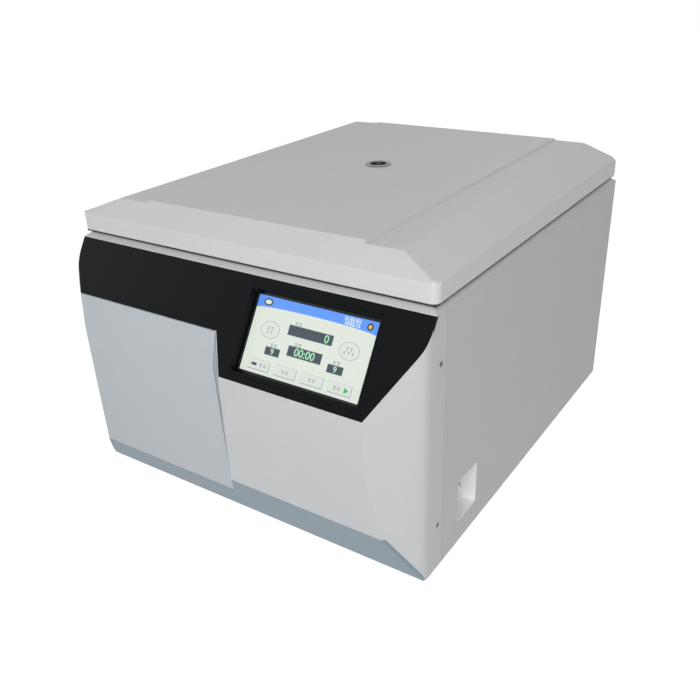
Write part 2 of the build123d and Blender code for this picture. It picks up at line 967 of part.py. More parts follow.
def make_rotor_body():
    hub_radius = shaft_radius + rotor_hub_wall
    profile = [
        (shaft_radius, rotor_low_z),
        (hub_radius, rotor_low_z),
        (hub_radius + rotor_hub_flare, rotor_low_z + rotor_floor),
        (rotor_radius - rotor_skirt_run, rotor_low_z + rotor_floor),
        (rotor_radius, rotor_low_z + rotor_skirt_height),
        (rotor_radius, rotor_low_z + rotor_band_height),
        (rotor_top_radius + rotor_top_lip, rotor_top_z),
        (shaft_radius, rotor_top_z),
    ]
    body = turned(profile)
    for index in range(tube_count):
        bore = Pos(0, 0, 1 - tube_depth / 2) * Cylinder(tube_radius, tube_depth)
        placed = Pos(tube_pitch_radius, 0, rotor_top_z) * Rot(0, -tube_tilt, 0) * bore
        body = body - Rot(0, 0, 360 / tube_count * index) * placed
    return Pos(0, spindle_y, 0) * body


def make_rotor_lid():
    profile = [
        (shaft_radius, rotor_top_z),
        (rotor_top_radius + rotor_lid_overhang, rotor_top_z),
        (rotor_top_radius + rotor_lid_overhang, rotor_top_z + rotor_lid_edge),
        (rotor_top_radius, rotor_lid_top_z),
        (shaft_radius, rotor_lid_top_z),
    ]
    return turned(profile, spindle_y)


def make_rotor_knob():
    top = rotor_lid_top_z + knob_height
    knob = disc(knob_radius, rotor_lid_top_z, top, 0, spindle_y)
    knob = chamfer(knob.edges().group_by(Axis.Z)[-1], knob_edge)
    reach = knob_radius + knob_flute_offset
    for index in range(knob_flute_count):
        angle = radians(360 / knob_flute_count * index)
        x = reach * cos(angle)
        y = spindle_y + reach * sin(angle)
        knob = knob - disc(knob_flute_radius, rotor_lid_top_z + knob_foot, top + 1, x, y)
    return knob


# Lid
lid_side_profile = [
    (lid_front_y, lid_bottom_z),
    (rear_y, lid_bottom_z),
    (rear_y, lid_top_z),
    (lid_front_y + lid_front_facet, lid_top_z),
    (lid_front_y, lid_skirt_z),
]
lid_front_profile = [
    (-lid_half_width, lid_bottom_z),
    (lid_half_width, lid_bottom_z),
    (lid_half_width, lid_skirt_z),
    (lid_half_width - lid_side_facet, lid_top_z),
    (-lid_half_width + lid_side_facet, lid_top_z),
    (-lid_half_width, lid_skirt_z),
]


def lid_volume(bottom, wall):
    """The lid's volume with rounded upright corners and its sides moved inwards by a wall."""
    side_shifts = {0: bottom, 1: wall, 2: wall, 3: wall, 4: wall}
    front_shifts = {0: bottom, 1: wall, 2: wall, 3: wall, 4: wall, 5: wall}
    side = along_x(shifted(lid_side_profile, side_shifts), -half_width, half_width)
    front = along_y(shifted(lid_front_profile, front_shifts), front_y, rear_y)
    width = 2 * (lid_half_width - wall)
    depth = rear_y - lid_front_y - 2 * wall
    middle = Pos(0, (lid_front_y + rear_y) / 2, lid_bottom_z - past)
    plan = extrude(middle * RectangleRounded(width, depth, lid_corner - wall), amount=2 * lid_rise)
    return side & front & plan


def make_lid_cover():
    lid = lid_volume(0, 0)
    base = [
        (-panel_half_width - panel_bevel, lid_front_y + lid_front_facet),
        (panel_half_width + panel_bevel, lid_front_y + lid_front_facet),
        (panel_half_width + panel_bevel, rear_y),
        (-panel_half_width - panel_bevel, rear_y),
    ]
    front_bevel = panel_rise * lid_front_facet / lid_crown
    top = shifted(base, {0: front_bevel, 1: panel_bevel, 3: panel_bevel})
    panel = loft([
        Plane.XY.offset(lid_top_z) * outline(base),
        Plane.XY.offset(lid_top_z + panel_rise) * outline(top),
    ])
    lid = lid + panel
    lid = lid - lid_volume(-past, lid_wall)
    return lid - disc(port_radius + seat_gap, lid_bottom_z, lid_top_z + past, 0, spindle_y)


def make_lid_plate():
    inset = lid_wall + seat_gap
    width = 2 * (lid_half_width - inset)
    depth = rear_y - lid_front_y - 2 * inset
    middle = Pos(0, (lid_front_y + rear_y) / 2, lid_bottom_z)
    face = RectangleRounded(width, depth, lid_corner - lid_wall)
    plate = extrude(middle * face, amount=lid_plate_thickness)
    return plate - disc(port_radius + seat_gap, lid_bottom_z - 1, lid_bottom_z + past, 0, spindle_y)


def make_lid_seal():
    inner = bowl_flange_radius - seal_width - 1
    low = deck_z + fit_gap
    ring = disc(inner + seal_width, low, lid_bottom_z, 0, spindle_y)
    return ring - disc(inner, low - 1, lid_bottom_z + 1, 0, spindle_y)


def make_port_sleeve():
    top = lid_top_z + panel_rise
    tube = disc(port_radius, lid_bottom_z, top, 0, spindle_y)
    flange = disc(port_flange_radius, top, top + port_proud, 0, spindle_y)
    flange = chamfer(flange.edges().group_by(Axis.Z)[-1], port_flange_edge)
    bore = disc(port_bore, lid_bottom_z + port_window_thickness, top + past, 0, spindle_y)
    neck = disc(port_bore - port_neck_step, lid_bottom_z - 1, top, 0, spindle_y)
    return tube + flange - bore - neck


def make_port_window():
    low = lid_bottom_z + port_window_thickness
    return disc(port_bore, low, low + port_window_thickness, 0, spindle_y)


def make_lid_hooks():
    hooks = []
    y = corner_y + hook_from_corner
    low = lid_bottom_z - hook_length
    for x in hook_places():
        plate = block(
            (x - hook_thickness / 2, x + hook_thickness / 2),
            (y - hook_width / 2, y + hook_width / 2),
            (low, lid_bottom_z),
        )
        eye = block(
            (x - hook_thickness, x + hook_thickness),
            (y - eye_width / 2, y + eye_width / 2),
            (bolt_z - eye_height / 2, bolt_z + eye_height / 2),
        )
        hooks.append(plate - eye)
    return group(hooks)


# Lid lock
bolt_z = lid_bottom_z - hook_length + eye_height
lock_plate_z = deck_under_z - lock_plate_drop
lock_y = corner_y + hook_from_corner


def make_lock_frame():
    reach_x = hook_spacing / 2 + lock_frame_margin
    front = lock_y - lock_plate_depth / 2
    back = lock_y + lock_plate_depth / 2
    low = lock_plate_z - sheet
    frame = block((-reach_x, reach_x), (front, back), (low, lock_plate_z))
    for x in (-reach_x, reach_x - sheet):
        frame = frame + block((x, x + sheet), (front, back), (low, deck_under_z))
    return frame


def make_lock_slider():
    bar_y = lock_y + hook_width / 2 + slot_clearance
    bar_high = lock_plate_z + seat_gap + lock_bar_height
    shape = block(
        (-hook_spacing / 2 - lock_bar_end, hook_spacing / 2),
        (bar_y, bar_y + lock_bar_thickness),
        (lock_plate_z + seat_gap, bar_high),
    )
    for x in hook_places():
        arm_x = x - hook_thickness / 2 - bolt_rest_gap - bolt_length
        arm = block(
            (arm_x - lock_bar_thickness, arm_x),
            (lock_y - bolt_radius, bar_y + lock_bar_thickness),
            (lock_plate_z + seat_gap, bolt_z + lock_arm_rise),
        )
        shape = shape + arm + rod_x(bolt_radius, arm_x - 1, arm_x + bolt_length, lock_y, bolt_z)
    return shape


def make_lock_motor():
    low = lock_plate_z
    end = lock_motor_length / 2
    body = block(
        (-end, end),
        (lock_y - lock_motor_front, lock_y + lock_motor_back),
        (low, low + lock_motor_height),
    )
    gear_y = lock_y - lock_gear_offset
    gear_z = low + lock_motor_height / 2
    return body + rod_x(lock_gear_radius, end, end + lock_gear_length, gear_y, gear_z)


# Hinges
hinge_y = rear_y + hinge_axis_back
hinge_z = lid_bottom_z - hinge_axis_drop


def hinge_knuckle(x_middle, place, bore):
    """One knuckle of a hinge, counted from the left."""
    low = x_middle + (place - knuckle_count / 2) * knuckle_length + seat_gap
    high = low + knuckle_length - 2 * seat_gap
    return low, high, rod_x(bore, low - 1, high + 1, hinge_y, hinge_z)


def hinge_side(places, leaf_low, leaf_high, web_low, web_high, bore):
    """One half of both hinges: leaves with their knuckles."""
    leaves = []
    for middle in (-hinge_spacing / 2, hinge_spacing / 2):
        reach = knuckle_count * knuckle_length / 2
        leaf_y = (rear_y, rear_y + hinge_leaf)
        leaf = block((middle - reach, middle + reach), leaf_y, (leaf_low, leaf_high))
        for place in places:
            low, high, hole = hinge_knuckle(middle, place, bore)
            web = block((low, high), (rear_y, hinge_y), (web_low, web_high))
            leaf = leaf + web + rod_x(knuckle_radius, low, high, hinge_y, hinge_z) - hole
        leaves.append(leaf)
    return group(leaves)


def make_body_hinges():
    top = hinge_z - hinge_leaf_drop
    places = range(0, knuckle_count, 2)
    return hinge_side(
        places, top - body_leaf_height, top, hinge_z - knuckle_radius, hinge_z, hinge_pin_radius
    )


def make_lid_hinges():
    places = range(1, knuckle_count, 2)
    return hinge_side(
        places,
        lid_bottom_z,
        lid_bottom_z + lid_leaf_height,
        hinge_z,
        hinge_z + knuckle_radius,
        hinge_pin_radius + running_clearance,
    )


def make_hinge_pins():
    pins = []
    reach = knuckle_count * knuckle_length / 2
    for middle in (-hinge_spacing / 2, hinge_spacing / 2):
        pins.append(rod_x(hinge_pin_radius, middle - reach, middle + reach, hinge_y, hinge_z))
    return group(pins)


# Side pocket and power switch
pocket_back_x = half_width - pocket_depth
switch_y = corner_y + pocket_from_corner + pocket_width / 2
pocket_roof_z = base_z + pocket_bottom + pocket_height - seat_gap - pocket_wall
switch_z = pocket_roof_z - switch_top_gap - switch_height / 2
switch_face_x = pocket_back_x + switch_bezel
rocker_x = switch_face_x - rocker_axis_depth


def make_switch_pocket():
    outer = pocket_block(-seat_gap, 0, pocket_depth + pocket_wall)
    flange = pocket_block(pocket_flange, sheet, sheet + pocket_wall)
    well = pocket_block(-seat_gap - pocket_wall, -1, pocket_depth)
    tray = outer + flange - well
    return tray - block(
        (pocket_back_x - past, pocket_back_x + 1),
        (switch_y - switch_body_width / 2, switch_y + switch_body_width / 2),
        (switch_z - switch_body_height / 2, switch_z + switch_body_height / 2),
    )


def make_switch_body():
    bezel = block(
        (pocket_back_x, switch_face_x),
        (switch_y - switch_width / 2, switch_y + switch_width / 2),
        (switch_z - switch_height / 2, switch_z + switch_height / 2),
    )
    body = block(
        (pocket_back_x - switch_body_depth, pocket_back_x),
        (switch_y - switch_body_width / 2, switch_y + switch_body_width / 2),
        (switch_z - switch_body_height / 2, switch_z + switch_body_height / 2),
    )
    reach_y = rocker_width / 2 + cavity_clearance
    reach_z = rocker_half_height + rocker_end_gap
    cavity = block(
        (switch_face_x - cavity_depth, switch_face_x + 1),
        (switch_y - reach_y, switch_y + reach_y),
        (switch_z - reach_z, switch_z + reach_z),
    )
    return bezel + body - cavity - rocker_pin_rod(rocker_pin_radius)


def rocker_pin_rod(radius):
    """The rocker's pin, at a given radius."""
    reach = rocker_width / 2 + cavity_clearance + 1
    return rod_y(radius, switch_y - reach, switch_y + reach, rocker_x, switch_z)


def make_power_rocker():
    half = rocker_half_height
    points = [
        (-rocker_root, -rocker_root),
        (rocker_skirt, -half),
        (rocker_edge, -half),
        (rocker_waist, 0),
        (rocker_edge, half),
        (rocker_skirt, half),
        (-rocker_root, rocker_root),
    ]
    rocker = along_y(points, -rocker_width / 2, rocker_width / 2)
    rocker = rocker - rod_y(
        rocker_pin_radius + running_clearance, -rocker_width, rocker_width, 0, 0
    )
    return Pos(rocker_x, switch_y, switch_z) * Rot(0, rocker_tilt, 0) * rocker


def make_rocker_pin():
    return rocker_pin_rod(rocker_pin_radius)


# Mains inlet with its fuse drawer
inlet_z = base_z + inlet_height_up
cavity_z = inlet_z - inlet_height / 2 + cavity_rise + inlet_cavity_height / 2
drawer_z = cavity_z + inlet_cavity_height / 2 + drawer_rise + fuse_drawer_height / 2
inlet_face_y = rear_y + inlet_flange
cavity_reach = inlet_cavity_width / 2 - cavity_margin


def make_mains_inlet():
    flange = block(
        (inlet_x - inlet_width / 2, inlet_x + inlet_width / 2),
        (rear_y, rear_y + inlet_flange),
        (inlet_z - inlet_height / 2, inlet_z + inlet_height / 2),
    )
    body = block(
        (
            inlet_x - inlet_width / 2 + inlet_flange + seat_gap,
            inlet_x + inlet_width / 2 - inlet_flange - seat_gap,
        ),
        (rear_y - inlet_body_depth, rear_y),
        (
            inlet_z - inlet_height / 2 + inlet_flange + seat_gap,
            inlet_z + inlet_height / 2 - inlet_flange - seat_gap,
        ),
    )
    cavity = block(
        (inlet_x - cavity_reach, inlet_x + cavity_reach),
        (inlet_face_y - inlet_cavity_depth, inlet_face_y + 1),
        (cavity_z - inlet_cavity_height / 2, cavity_z + inlet_cavity_height / 2),
    )
    drawer = drawer_block(seat_gap, seat_gap)
    return flange + body - cavity - drawer


def drawer_block(grow, deeper):
    """The fuse drawer's block, or the slot for it when grown."""
    reach_x = fuse_drawer_width / 2 - fuse_drawer_margin_x + grow
    reach_z = fuse_drawer_height / 2 - fuse_drawer_margin_z + grow
    return block(
        (inlet_x - reach_x, inlet_x + reach_x),
        (inlet_face_y - fuse_drawer_depth - deeper, inlet_face_y),
        (drawer_z - reach_z, drawer_z + reach_z),
    )


def make_fuse_drawer():
    front = block(
        (inlet_x - fuse_drawer_width / 2, inlet_x + fuse_drawer_width / 2),
        (inlet_face_y, inlet_face_y + fuse_drawer_front),
        (drawer_z - fuse_drawer_height / 2, drawer_z + fuse_drawer_height / 2),
    )
    return drawer_block(0, 0) + front


def make_inlet_pins():
    pins = []
    for x, z in inlet_pin_places:
        pins.append(block(
            (inlet_x + x - inlet_pin_half_width, inlet_x + x + inlet_pin_half_width),
            (inlet_face_y - inlet_cavity_depth, inlet_face_y - inlet_pin_recess),
            (cavity_z + z - inlet_pin_half_height, cavity_z + z + inlet_pin_half_height),
        ))
    return group(pins)


# Cooling fan
fan_z = base_z + fan_up
fan_back_y = rear_y - sheet
fan_front_y = fan_back_y - fan_depth


def make_fan_frame():
    half = fan_size / 2
    frame = block(
        (fan_x - half, fan_x + half), (fan_front_y, fan_back_y), (fan_z - half, fan_z + half)
    )
    frame = frame - rod_y(fan_bore_radius, fan_front_y - 1, fan_back_y + 1, fan_x, fan_z)
    for angle in range(0, 360, 90):
        strut = Box(fan_bore_radius + 1, fan_strut, fan_strut)
        strut = Pos(fan_bore_radius / 2, 0, 0) * strut
        place = Pos(fan_x, fan_front_y + fan_strut / 2, fan_z) * Rot(0, angle + 45, 0)
        frame = frame + place * strut
    frame = frame + rod_y(fan_hub_radius, fan_front_y, fan_front_y + fan_strut, fan_x, fan_z)
    return frame + rod_y(fan_pin_radius, fan_front_y, fan_back_y - fan_pin_end_gap, fan_x, fan_z)


def make_fan_impeller():
    low = fan_front_y + fan_strut + fit_gap
    high = fan_back_y - fan_impeller_end_gap
    middle = (low + high) / 2
    hub = rod_y(fan_hub_radius, low, high, fan_x, fan_z)
    blade_length = fan_bore_radius - fan_hub_radius + fan_blade_root
    blades = []
    for index in range(fan_blade_count):
        blade = Rot(fan_blade_pitch, 0, 0) * Box(blade_length, fan_blade_thickness, fan_blade_chord)
        blade = Pos(fan_hub_radius - fan_blade_root + blade_length / 2, 0, 0) * blade
        blades.append(Pos(fan_x, middle, fan_z) * Rot(0, 360 / fan_blade_count * index, 0) * blade)
    limit = rod_y(fan_bore_radius - fan_tip_gap, low, high, fan_x, fan_z)
    shape = hub
    for blade in blades:
        shape = shape + (blade & limit)
    bore_radius = fan_pin_radius + running_clearance
    bore = rod_y(bore_radius, low - 1, high - fan_tip_gap, fan_x, fan_z)
    return shape - bore


def make_rear_grille():
    low = rear_y
    high = rear_y + grille_wire
    shape = rod_y(grille_hub_radius, low, high, fan_x, fan_z)
    for index in range(grille_ring_count):
        step = (fan_bore_radius - grille_inner) / grille_ring_count
        radius = fan_bore_radius + grille_margin - index * step
        ring = rod_y(radius, low, high, fan_x, fan_z)
        shape = shape + (ring - rod_y(radius - grille_wire, low - 1, high + 1, fan_x, fan_z))
    for angle in range(0, 180, 60):
        spoke = Box(2 * fan_bore_radius + 2, grille_wire, grille_wire)
        shape = shape + Pos(fan_x, (low + high) / 2, fan_z) * Rot(0, angle, 0) * spoke
    return shape


# Boards
board_x = foot_x - board_from_foot
control_board_place = (-board_x, seam_y + control_board_from_seam)
power_board_place = (board_x, seam_y + power_board_from_seam)
heat_sink_place = (heat_sink_x, rear_y - heat_sink_from_rear)
filter_place = (board_x, rear_y - filter_from_rear)


def board_corners(place, size):
    """Where a board's four standoffs stand."""
    reach = (size[0] / 2 - standoff_inset, size[1] / 2 - standoff_inset)
    return [(place[0] + x * reach[0], place[1] + y * reach[1]) for x in (-1, 1) for y in (-1, 1)]


def make_board(place, size, components):
    """A board on the base plate, with its tallest components."""
    low = base_top_z + standoff_height
    high = low + board_thickness
    board = block(
        (place[0] - size[0] / 2, place[0] + size[0] / 2),
        (place[1] - size[1] / 2, place[1] + size[1] / 2),
        (low, high),
    )
    for x, y, length, width, height in components:
        board = board + block(
            (place[0] + x, place[0] + x + length),
            (place[1] + y, place[1] + y + width),
            (high, high + height),
        )
    return board


def make_control_board():
    return make_board(control_board_place, control_board_size, control_components)


def make_power_board():
    return make_board(power_board_place, power_board_size, power_components)


def make_board_standoffs():
    places = board_corners(control_board_place, control_board_size)
    places += board_corners(power_board_place, power_board_size)
    return group(
        disc(standoff_radius, base_top_z, base_top_z + standoff_height, x, y) for x, y in places
    )


def make_heat_sink():
    x, y = heat_sink_place
    half_x = heat_sink_size[0] / 2
    half_y = heat_sink_size[1] / 2
    low = base_top_z + heat_sink_base
    top = base_top_z + heat_sink_height
    sink = block((x - half_x, x + half_x), (y - half_y, y + half_y), (base_top_z, low))
    pitch = (heat_sink_size[0] - heat_sink_fin) / (heat_sink_fins - 1)
    for index in range(heat_sink_fins):
        fin = x - half_x + index * pitch
        sink = sink + block((fin, fin + heat_sink_fin), (y - half_y, y + half_y), (low - 1, top))
    return sink


def make_mains_filter():
    x, y = filter_place
    length, width, height = filter_size
    return block(
        (x - length / 2, x + length / 2),
        (y - width / 2, y + width / 2),
        (base_top_z, base_top_z + height),
    )


def make_fascia_screws():
    y = corner_y + fascia_screw_from_corner
    return group(screw_x(side, y, height) for side in (-1, 1) for height in fascia_screw_heights)


parts = {
    "front_fascia": make_front_fascia,
    "console_plate": make_console_plate,
    "front_left_cover": lambda: cover_slab,
    "plinth_skirt": lambda: plinth_slab,
    "display_tray": make_display_tray,
    "display_glass": make_display_glass,
    "display_panel": make_display_panel,
    "display_board": make_display_board,
    "left_side_panel": lambda: make_side_panel(-1),
    "right_side_panel": lambda: make_side_panel(1),
    "rear_panel": make_rear_panel,
    "rear_screws": make_rear_screws,
    "base_plate": make_base_plate,
    "rubber_feet": make_rubber_feet,
    "foot_screws": make_foot_screws,
    "foot_nuts": make_foot_nuts,
    "top_deck": make_top_deck,
    "chamber_bowl": make_chamber_bowl,
    "guard_ring": make_guard_ring,
    "guard_posts": make_guard_posts,
    "motor_dampers": make_motor_dampers,
    "motor_plate": make_motor_plate,
    "motor_housing": make_motor_housing,
    "motor_cap": make_motor_cap,
    "motor_bearings": make_motor_bearings,
    "motor_stator": make_motor_stator,
    "motor_shaft": make_motor_shaft,
    "spindle_boot": make_spindle_boot,
    "rotor_body": make_rotor_body,
    "rotor_lid": make_rotor_lid,
    "rotor_knob": make_rotor_knob,
    "lid_cover": make_lid_cover,
    "lid_plate": make_lid_plate,
    "lid_seal": make_lid_seal,
    "port_sleeve": make_port_sleeve,
    "port_window": make_port_window,
    "lid_hooks": make_lid_hooks,
    "lock_frame": make_lock_frame,
    "lock_slider": make_lock_slider,
    "lock_motor": make_lock_motor,
    "body_hinges": make_body_hinges,
    "lid_hinges": make_lid_hinges,
    "hinge_pins": make_hinge_pins,
    "switch_pocket": make_switch_pocket,
    "switch_body": make_switch_body,
    "power_rocker": make_power_rocker,
    "rocker_pin": make_rocker_pin,
    "mains_inlet": make_mains_inlet,
    "inlet_pins": make_inlet_pins,
    "fuse_drawer": make_fuse_drawer,
    "fan_frame": make_fan_frame,
    "fan_impeller": make_fan_impeller,
    "rear_grille": make_rear_grille,
    "control_board": make_control_board,
    "power_board": make_power_board,
    "board_standoffs": make_board_standoffs,
    "heat_sink": make_heat_sink,
    "mains_filter": make_mains_filter,
    "fascia_screws": make_fascia_screws,
}

for part_name, make in parts.items():
    save(make(), part_name)
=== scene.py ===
import json
import math

import bpy
from bpy.props import FloatProperty, FloatVectorProperty, PointerProperty
from mathutils import Matrix, Vector


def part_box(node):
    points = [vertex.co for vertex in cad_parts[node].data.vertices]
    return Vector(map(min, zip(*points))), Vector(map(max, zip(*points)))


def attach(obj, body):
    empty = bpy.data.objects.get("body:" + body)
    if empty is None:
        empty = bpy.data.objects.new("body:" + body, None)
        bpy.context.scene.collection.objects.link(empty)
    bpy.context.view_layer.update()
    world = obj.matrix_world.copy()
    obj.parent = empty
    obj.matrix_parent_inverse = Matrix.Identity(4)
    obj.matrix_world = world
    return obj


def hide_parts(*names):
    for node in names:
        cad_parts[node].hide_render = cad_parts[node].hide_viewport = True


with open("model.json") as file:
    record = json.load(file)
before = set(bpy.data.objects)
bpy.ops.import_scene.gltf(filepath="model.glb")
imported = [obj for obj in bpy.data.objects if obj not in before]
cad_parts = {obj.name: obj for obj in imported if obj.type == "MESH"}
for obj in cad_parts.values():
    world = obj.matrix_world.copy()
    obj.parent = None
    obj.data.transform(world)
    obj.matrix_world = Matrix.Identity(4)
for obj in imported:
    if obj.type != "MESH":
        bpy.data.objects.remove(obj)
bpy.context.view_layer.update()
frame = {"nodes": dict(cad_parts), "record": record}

bl_info = {
    "name": "Benchtop Centrifuge",
    "version": (1, 0, 0),
    "blender": (4, 5, 0),
    "location": "View3D > Sidebar > Centrifuge",
    "description": "Dresses the packed centrifuge with its finishes, screen and small parts",
    "category": "Object",
}

node_slots = {part["node"]: part["material_slot"] for part in frame["record"]["subparts"]}
node_bodies = {
    node: body for body, nodes in frame["record"]["behaviour"]["bodies"].items() for node in nodes
}


# Sizes and colours that a user would change
class CameraSizes(bpy.types.PropertyGroup):
    place: FloatVectorProperty(
        name="Place", description="Where the camera stands", subtype="TRANSLATION", unit="LENGTH",
        default=(0.566, -0.8609, 0.6363),
    )
    turn: FloatProperty(
        name="Turn", description="Angle of view to the left of straight back", unit="ROTATION",
        default=math.radians(34.38),
    )
    pitch: FloatProperty(
        name="Pitch", description="Angle of view below level", unit="ROTATION",
        default=math.radians(26.64),
    )
    roll: FloatProperty(
        name="Roll", description="Tilt of the camera about its own axis", unit="ROTATION",
        default=math.radians(-2.0),
    )
    lens: FloatProperty(name="Lens", description="Focal length in millimetres", default=40.81)


class ShellSizes(bpy.types.PropertyGroup):
    lid_shoulder: FloatProperty(
        name="Lid shoulder", description="Rounding where the lid's skirt meets its slopes",
        unit="LENGTH", default=0.003,
    )
    lid_lip: FloatProperty(
        name="Lid lip", description="Rounding of the lid's lower edge", unit="LENGTH",
        default=0.0014,
    )
    lid_crease: FloatProperty(
        name="Lid crease", description="Rounding of the lid's creases on top", unit="LENGTH",
        default=0.0025,
    )
    panel_edge: FloatProperty(
        name="Panel edge", description="Rounding of the cabinet's edges", unit="LENGTH",
        default=0.0009,
    )
    white: FloatVectorProperty(
        name="White", description="Colour of the lid and front", subtype="COLOR", size=3,
        min=0, max=1, default=(0.60, 0.61, 0.595),
    )
    front: FloatVectorProperty(
        name="Front", description="Colour of the front moulding", subtype="COLOR", size=3,
        min=0, max=1, default=(0.525, 0.535, 0.54),
    )
    cover: FloatVectorProperty(
        name="Cover", description="Colour of the left front cover", subtype="COLOR", size=3,
        min=0, max=1, default=(0.455, 0.49, 0.51),
    )
    sheet: FloatVectorProperty(
        name="Sheet", description="Colour of the painted side panels", subtype="COLOR", size=3,
        min=0, max=1, default=(0.50, 0.505, 0.515),
    )
    plinth: FloatVectorProperty(
        name="Plinth", description="Colour of the plinth", subtype="COLOR", size=3,
        min=0, max=1, default=(0.2, 0.264, 0.312),
    )
    console: FloatVectorProperty(
        name="Console", description="Colour of the dark console plate", subtype="COLOR", size=3,
        min=0, max=1, default=(0.003, 0.004, 0.0045),
    )


class ScreenSizes(bpy.types.PropertyGroup):
    width: FloatProperty(
        name="Lit width", description="Width of the lit picture", unit="LENGTH", default=0.1538
    )
    height: FloatProperty(
        name="Lit height", description="Height of the lit picture", unit="LENGTH", default=0.0845
    )
    shift: FloatProperty(
        name="Picture shift", description="How far the picture stands right of the glass's middle",
        unit="LENGTH", default=-0.0012,
    )
    glow: FloatProperty(name="Glow", description="Brightness of the lit picture", default=0.78)
    page: FloatVectorProperty(
        name="Page", description="Colour of the picture's ground", subtype="COLOR", size=3,
        min=0, max=1, default=(0.74, 0.80, 0.72),
    )
    header: FloatVectorProperty(
        name="Header", description="Colour of the picture's header", subtype="COLOR", size=3,
        min=0, max=1, default=(0.11, 0.32, 0.95),
    )
    readout: FloatVectorProperty(
        name="Readout", description="Colour of the readout boxes", subtype="COLOR", size=3,
        min=0, max=1, default=(0.045, 0.065, 0.085),
    )
    digit: FloatVectorProperty(
        name="Digit", description="Colour of the digits", subtype="COLOR", size=3,
        min=0, max=1, default=(0.42, 0.85, 0.50),
    )


class StageSizes(bpy.types.PropertyGroup):
    floor_size: FloatProperty(
        name="Floor size", description="Width of the floor", unit="LENGTH", default=14.0
    )
    floor_level: FloatProperty(
        name="Floor level", description="Lightness of the floor", default=0.86
    )
    sky: FloatProperty(name="Sky", description="Strength of the soft light all round", default=0.22)
    key_power: FloatProperty(name="Key light", description="Power of the main lamp", default=47.0)


def settings(name):
    """The group of sizes kept on the scene under this name."""
    return getattr(bpy.context.scene, name)


# Shader maths
class Value:
    """A shader value that takes part in ordinary arithmetic."""

    def __init__(self, graph, socket):
        self.graph = graph
        self.socket = socket

    def math(self, operation, first, second):
        return self.graph.node("ShaderNodeMath", {"operation": operation}, {0: first, 1: second})

    def __add__(self, other):
        return self.math("ADD", self, other)

    def __radd__(self, other):
        return self.math("ADD", other, self)

    def __sub__(self, other):
        return self.math("SUBTRACT", self, other)

    def __rsub__(self, other):
        return self.math("SUBTRACT", other, self)

    def __mul__(self, other):
        return self.math("MULTIPLY", self, other)

    def __rmul__(self, other):
        return self.math("MULTIPLY", other, self)


class Finish:
    """One material, built node by node."""

    def __init__(self, name):
        self.material = bpy.data.materials.new(name)
        self.material.use_nodes = True
        self.tree = self.material.node_tree
        self.shader = self.tree.nodes["Principled BSDF"]

    def node(self, kind, options=None, inputs=None, output=0):
        """Add a node with its options and its sockets' values or links."""
        made = self.tree.nodes.new(kind)
        for key, value in (options or {}).items():
            setattr(made, key, value)
        for key, value in (inputs or {}).items():
            self.feed(made.inputs[key], value)
        return Value(self, made.outputs[output])

    def feed(self, socket, value):
        """Link a value to a socket, or set it."""
        if isinstance(value, Value):
            self.tree.links.new(value.socket, socket)
        else:
            socket.default_value = value

    def set(self, **levels):
        """Set or link the shader's own sockets by their names."""
        for name, value in levels.items():
            self.feed(self.shader.inputs[name.replace("_", " ")], value)
        return self

    def place(self, stretch=(1, 1, 1)):
        """The piece's own coordinates, stretched along each axis."""
        spot = self.node("ShaderNodeTexCoord", output=3)
        return self.node("ShaderNodeMapping", {}, {"Vector": spot, "Scale": stretch})

    def noise(self, scale, detail, where=None):
        """Even noise from 0 to 1 at a scale per metre."""
        return self.node(
            "ShaderNodeTexNoise",
            {},
            {"Vector": where or self.place(), "Scale": scale, "Detail": detail},
        )

    def mix(self, factor, first, second):
        """A blend of two colours."""
        made = self.tree.nodes.new("ShaderNodeMix")
        made.data_type = "RGBA"
        self.feed(made.inputs[0], factor)
        self.feed(made.inputs[6], first)
        self.feed(made.inputs[7], second)
        return Value(self, made.outputs[2])

    def bump(self, height, strength, distance):
        """A surface normal raised by a height."""
        return self.node(
            "ShaderNodeBump", {}, {"Height": height, "Strength": strength, "Distance": distance}
        )


def rgba(colour, lift=1.0):
    """A colour with its alpha, lightened or darkened by a factor."""
    return tuple(min(level * lift, 1.0) for level in colour[:3]) + (1.0,)


# Finishes
def grained(
    name, colour, roughness, grain=900.0, depth=0.00006, strength=0.5, mottle=0.04, gloss=0.35
):
    """Painted or moulded surface with a fine orange-peel grain and faint cloudiness."""
    finish = Finish(name)
    peel = finish.noise(grain, 3.0)
    fine = finish.noise(grain * 2.7, 2.0)
    cloud = finish.noise(9.0, 3.0)
    dust = finish.noise(60.0, 4.0)
    tone = finish.mix(cloud, rgba(colour, 1 - mottle), rgba(colour, 1 + mottle))
    speck = finish.mix(dust * 0.25, tone, rgba(colour, 1 - 2 * mottle))
    rough = roughness - 0.06 + cloud * 0.06 + fine * 0.06
    finish.set(Base_Color=speck, Roughness=rough)
    finish.set(Normal=finish.bump(peel + fine * 0.4, strength, depth))
    finish.set(Specular_IOR_Level=gloss)
    return finish.material


def brushed(name, colour, stretch, roughness):
    """Metal with fine brushed streaks along the axis of least stretch."""
    finish = Finish(name)
    streak = finish.noise(1.0, 4.0, finish.place(stretch))
    cloud = finish.noise(14.0, 3.0)
    finish.set(
        Base_Color=finish.mix(streak, rgba(colour, 0.86), rgba(colour, 1.08)),
        Roughness=roughness - 0.08 + streak * 0.18 + cloud * 0.06,
        Metallic=1.0,
        Normal=finish.bump(streak, 0.25, 0.00004),
    )
    return finish.material


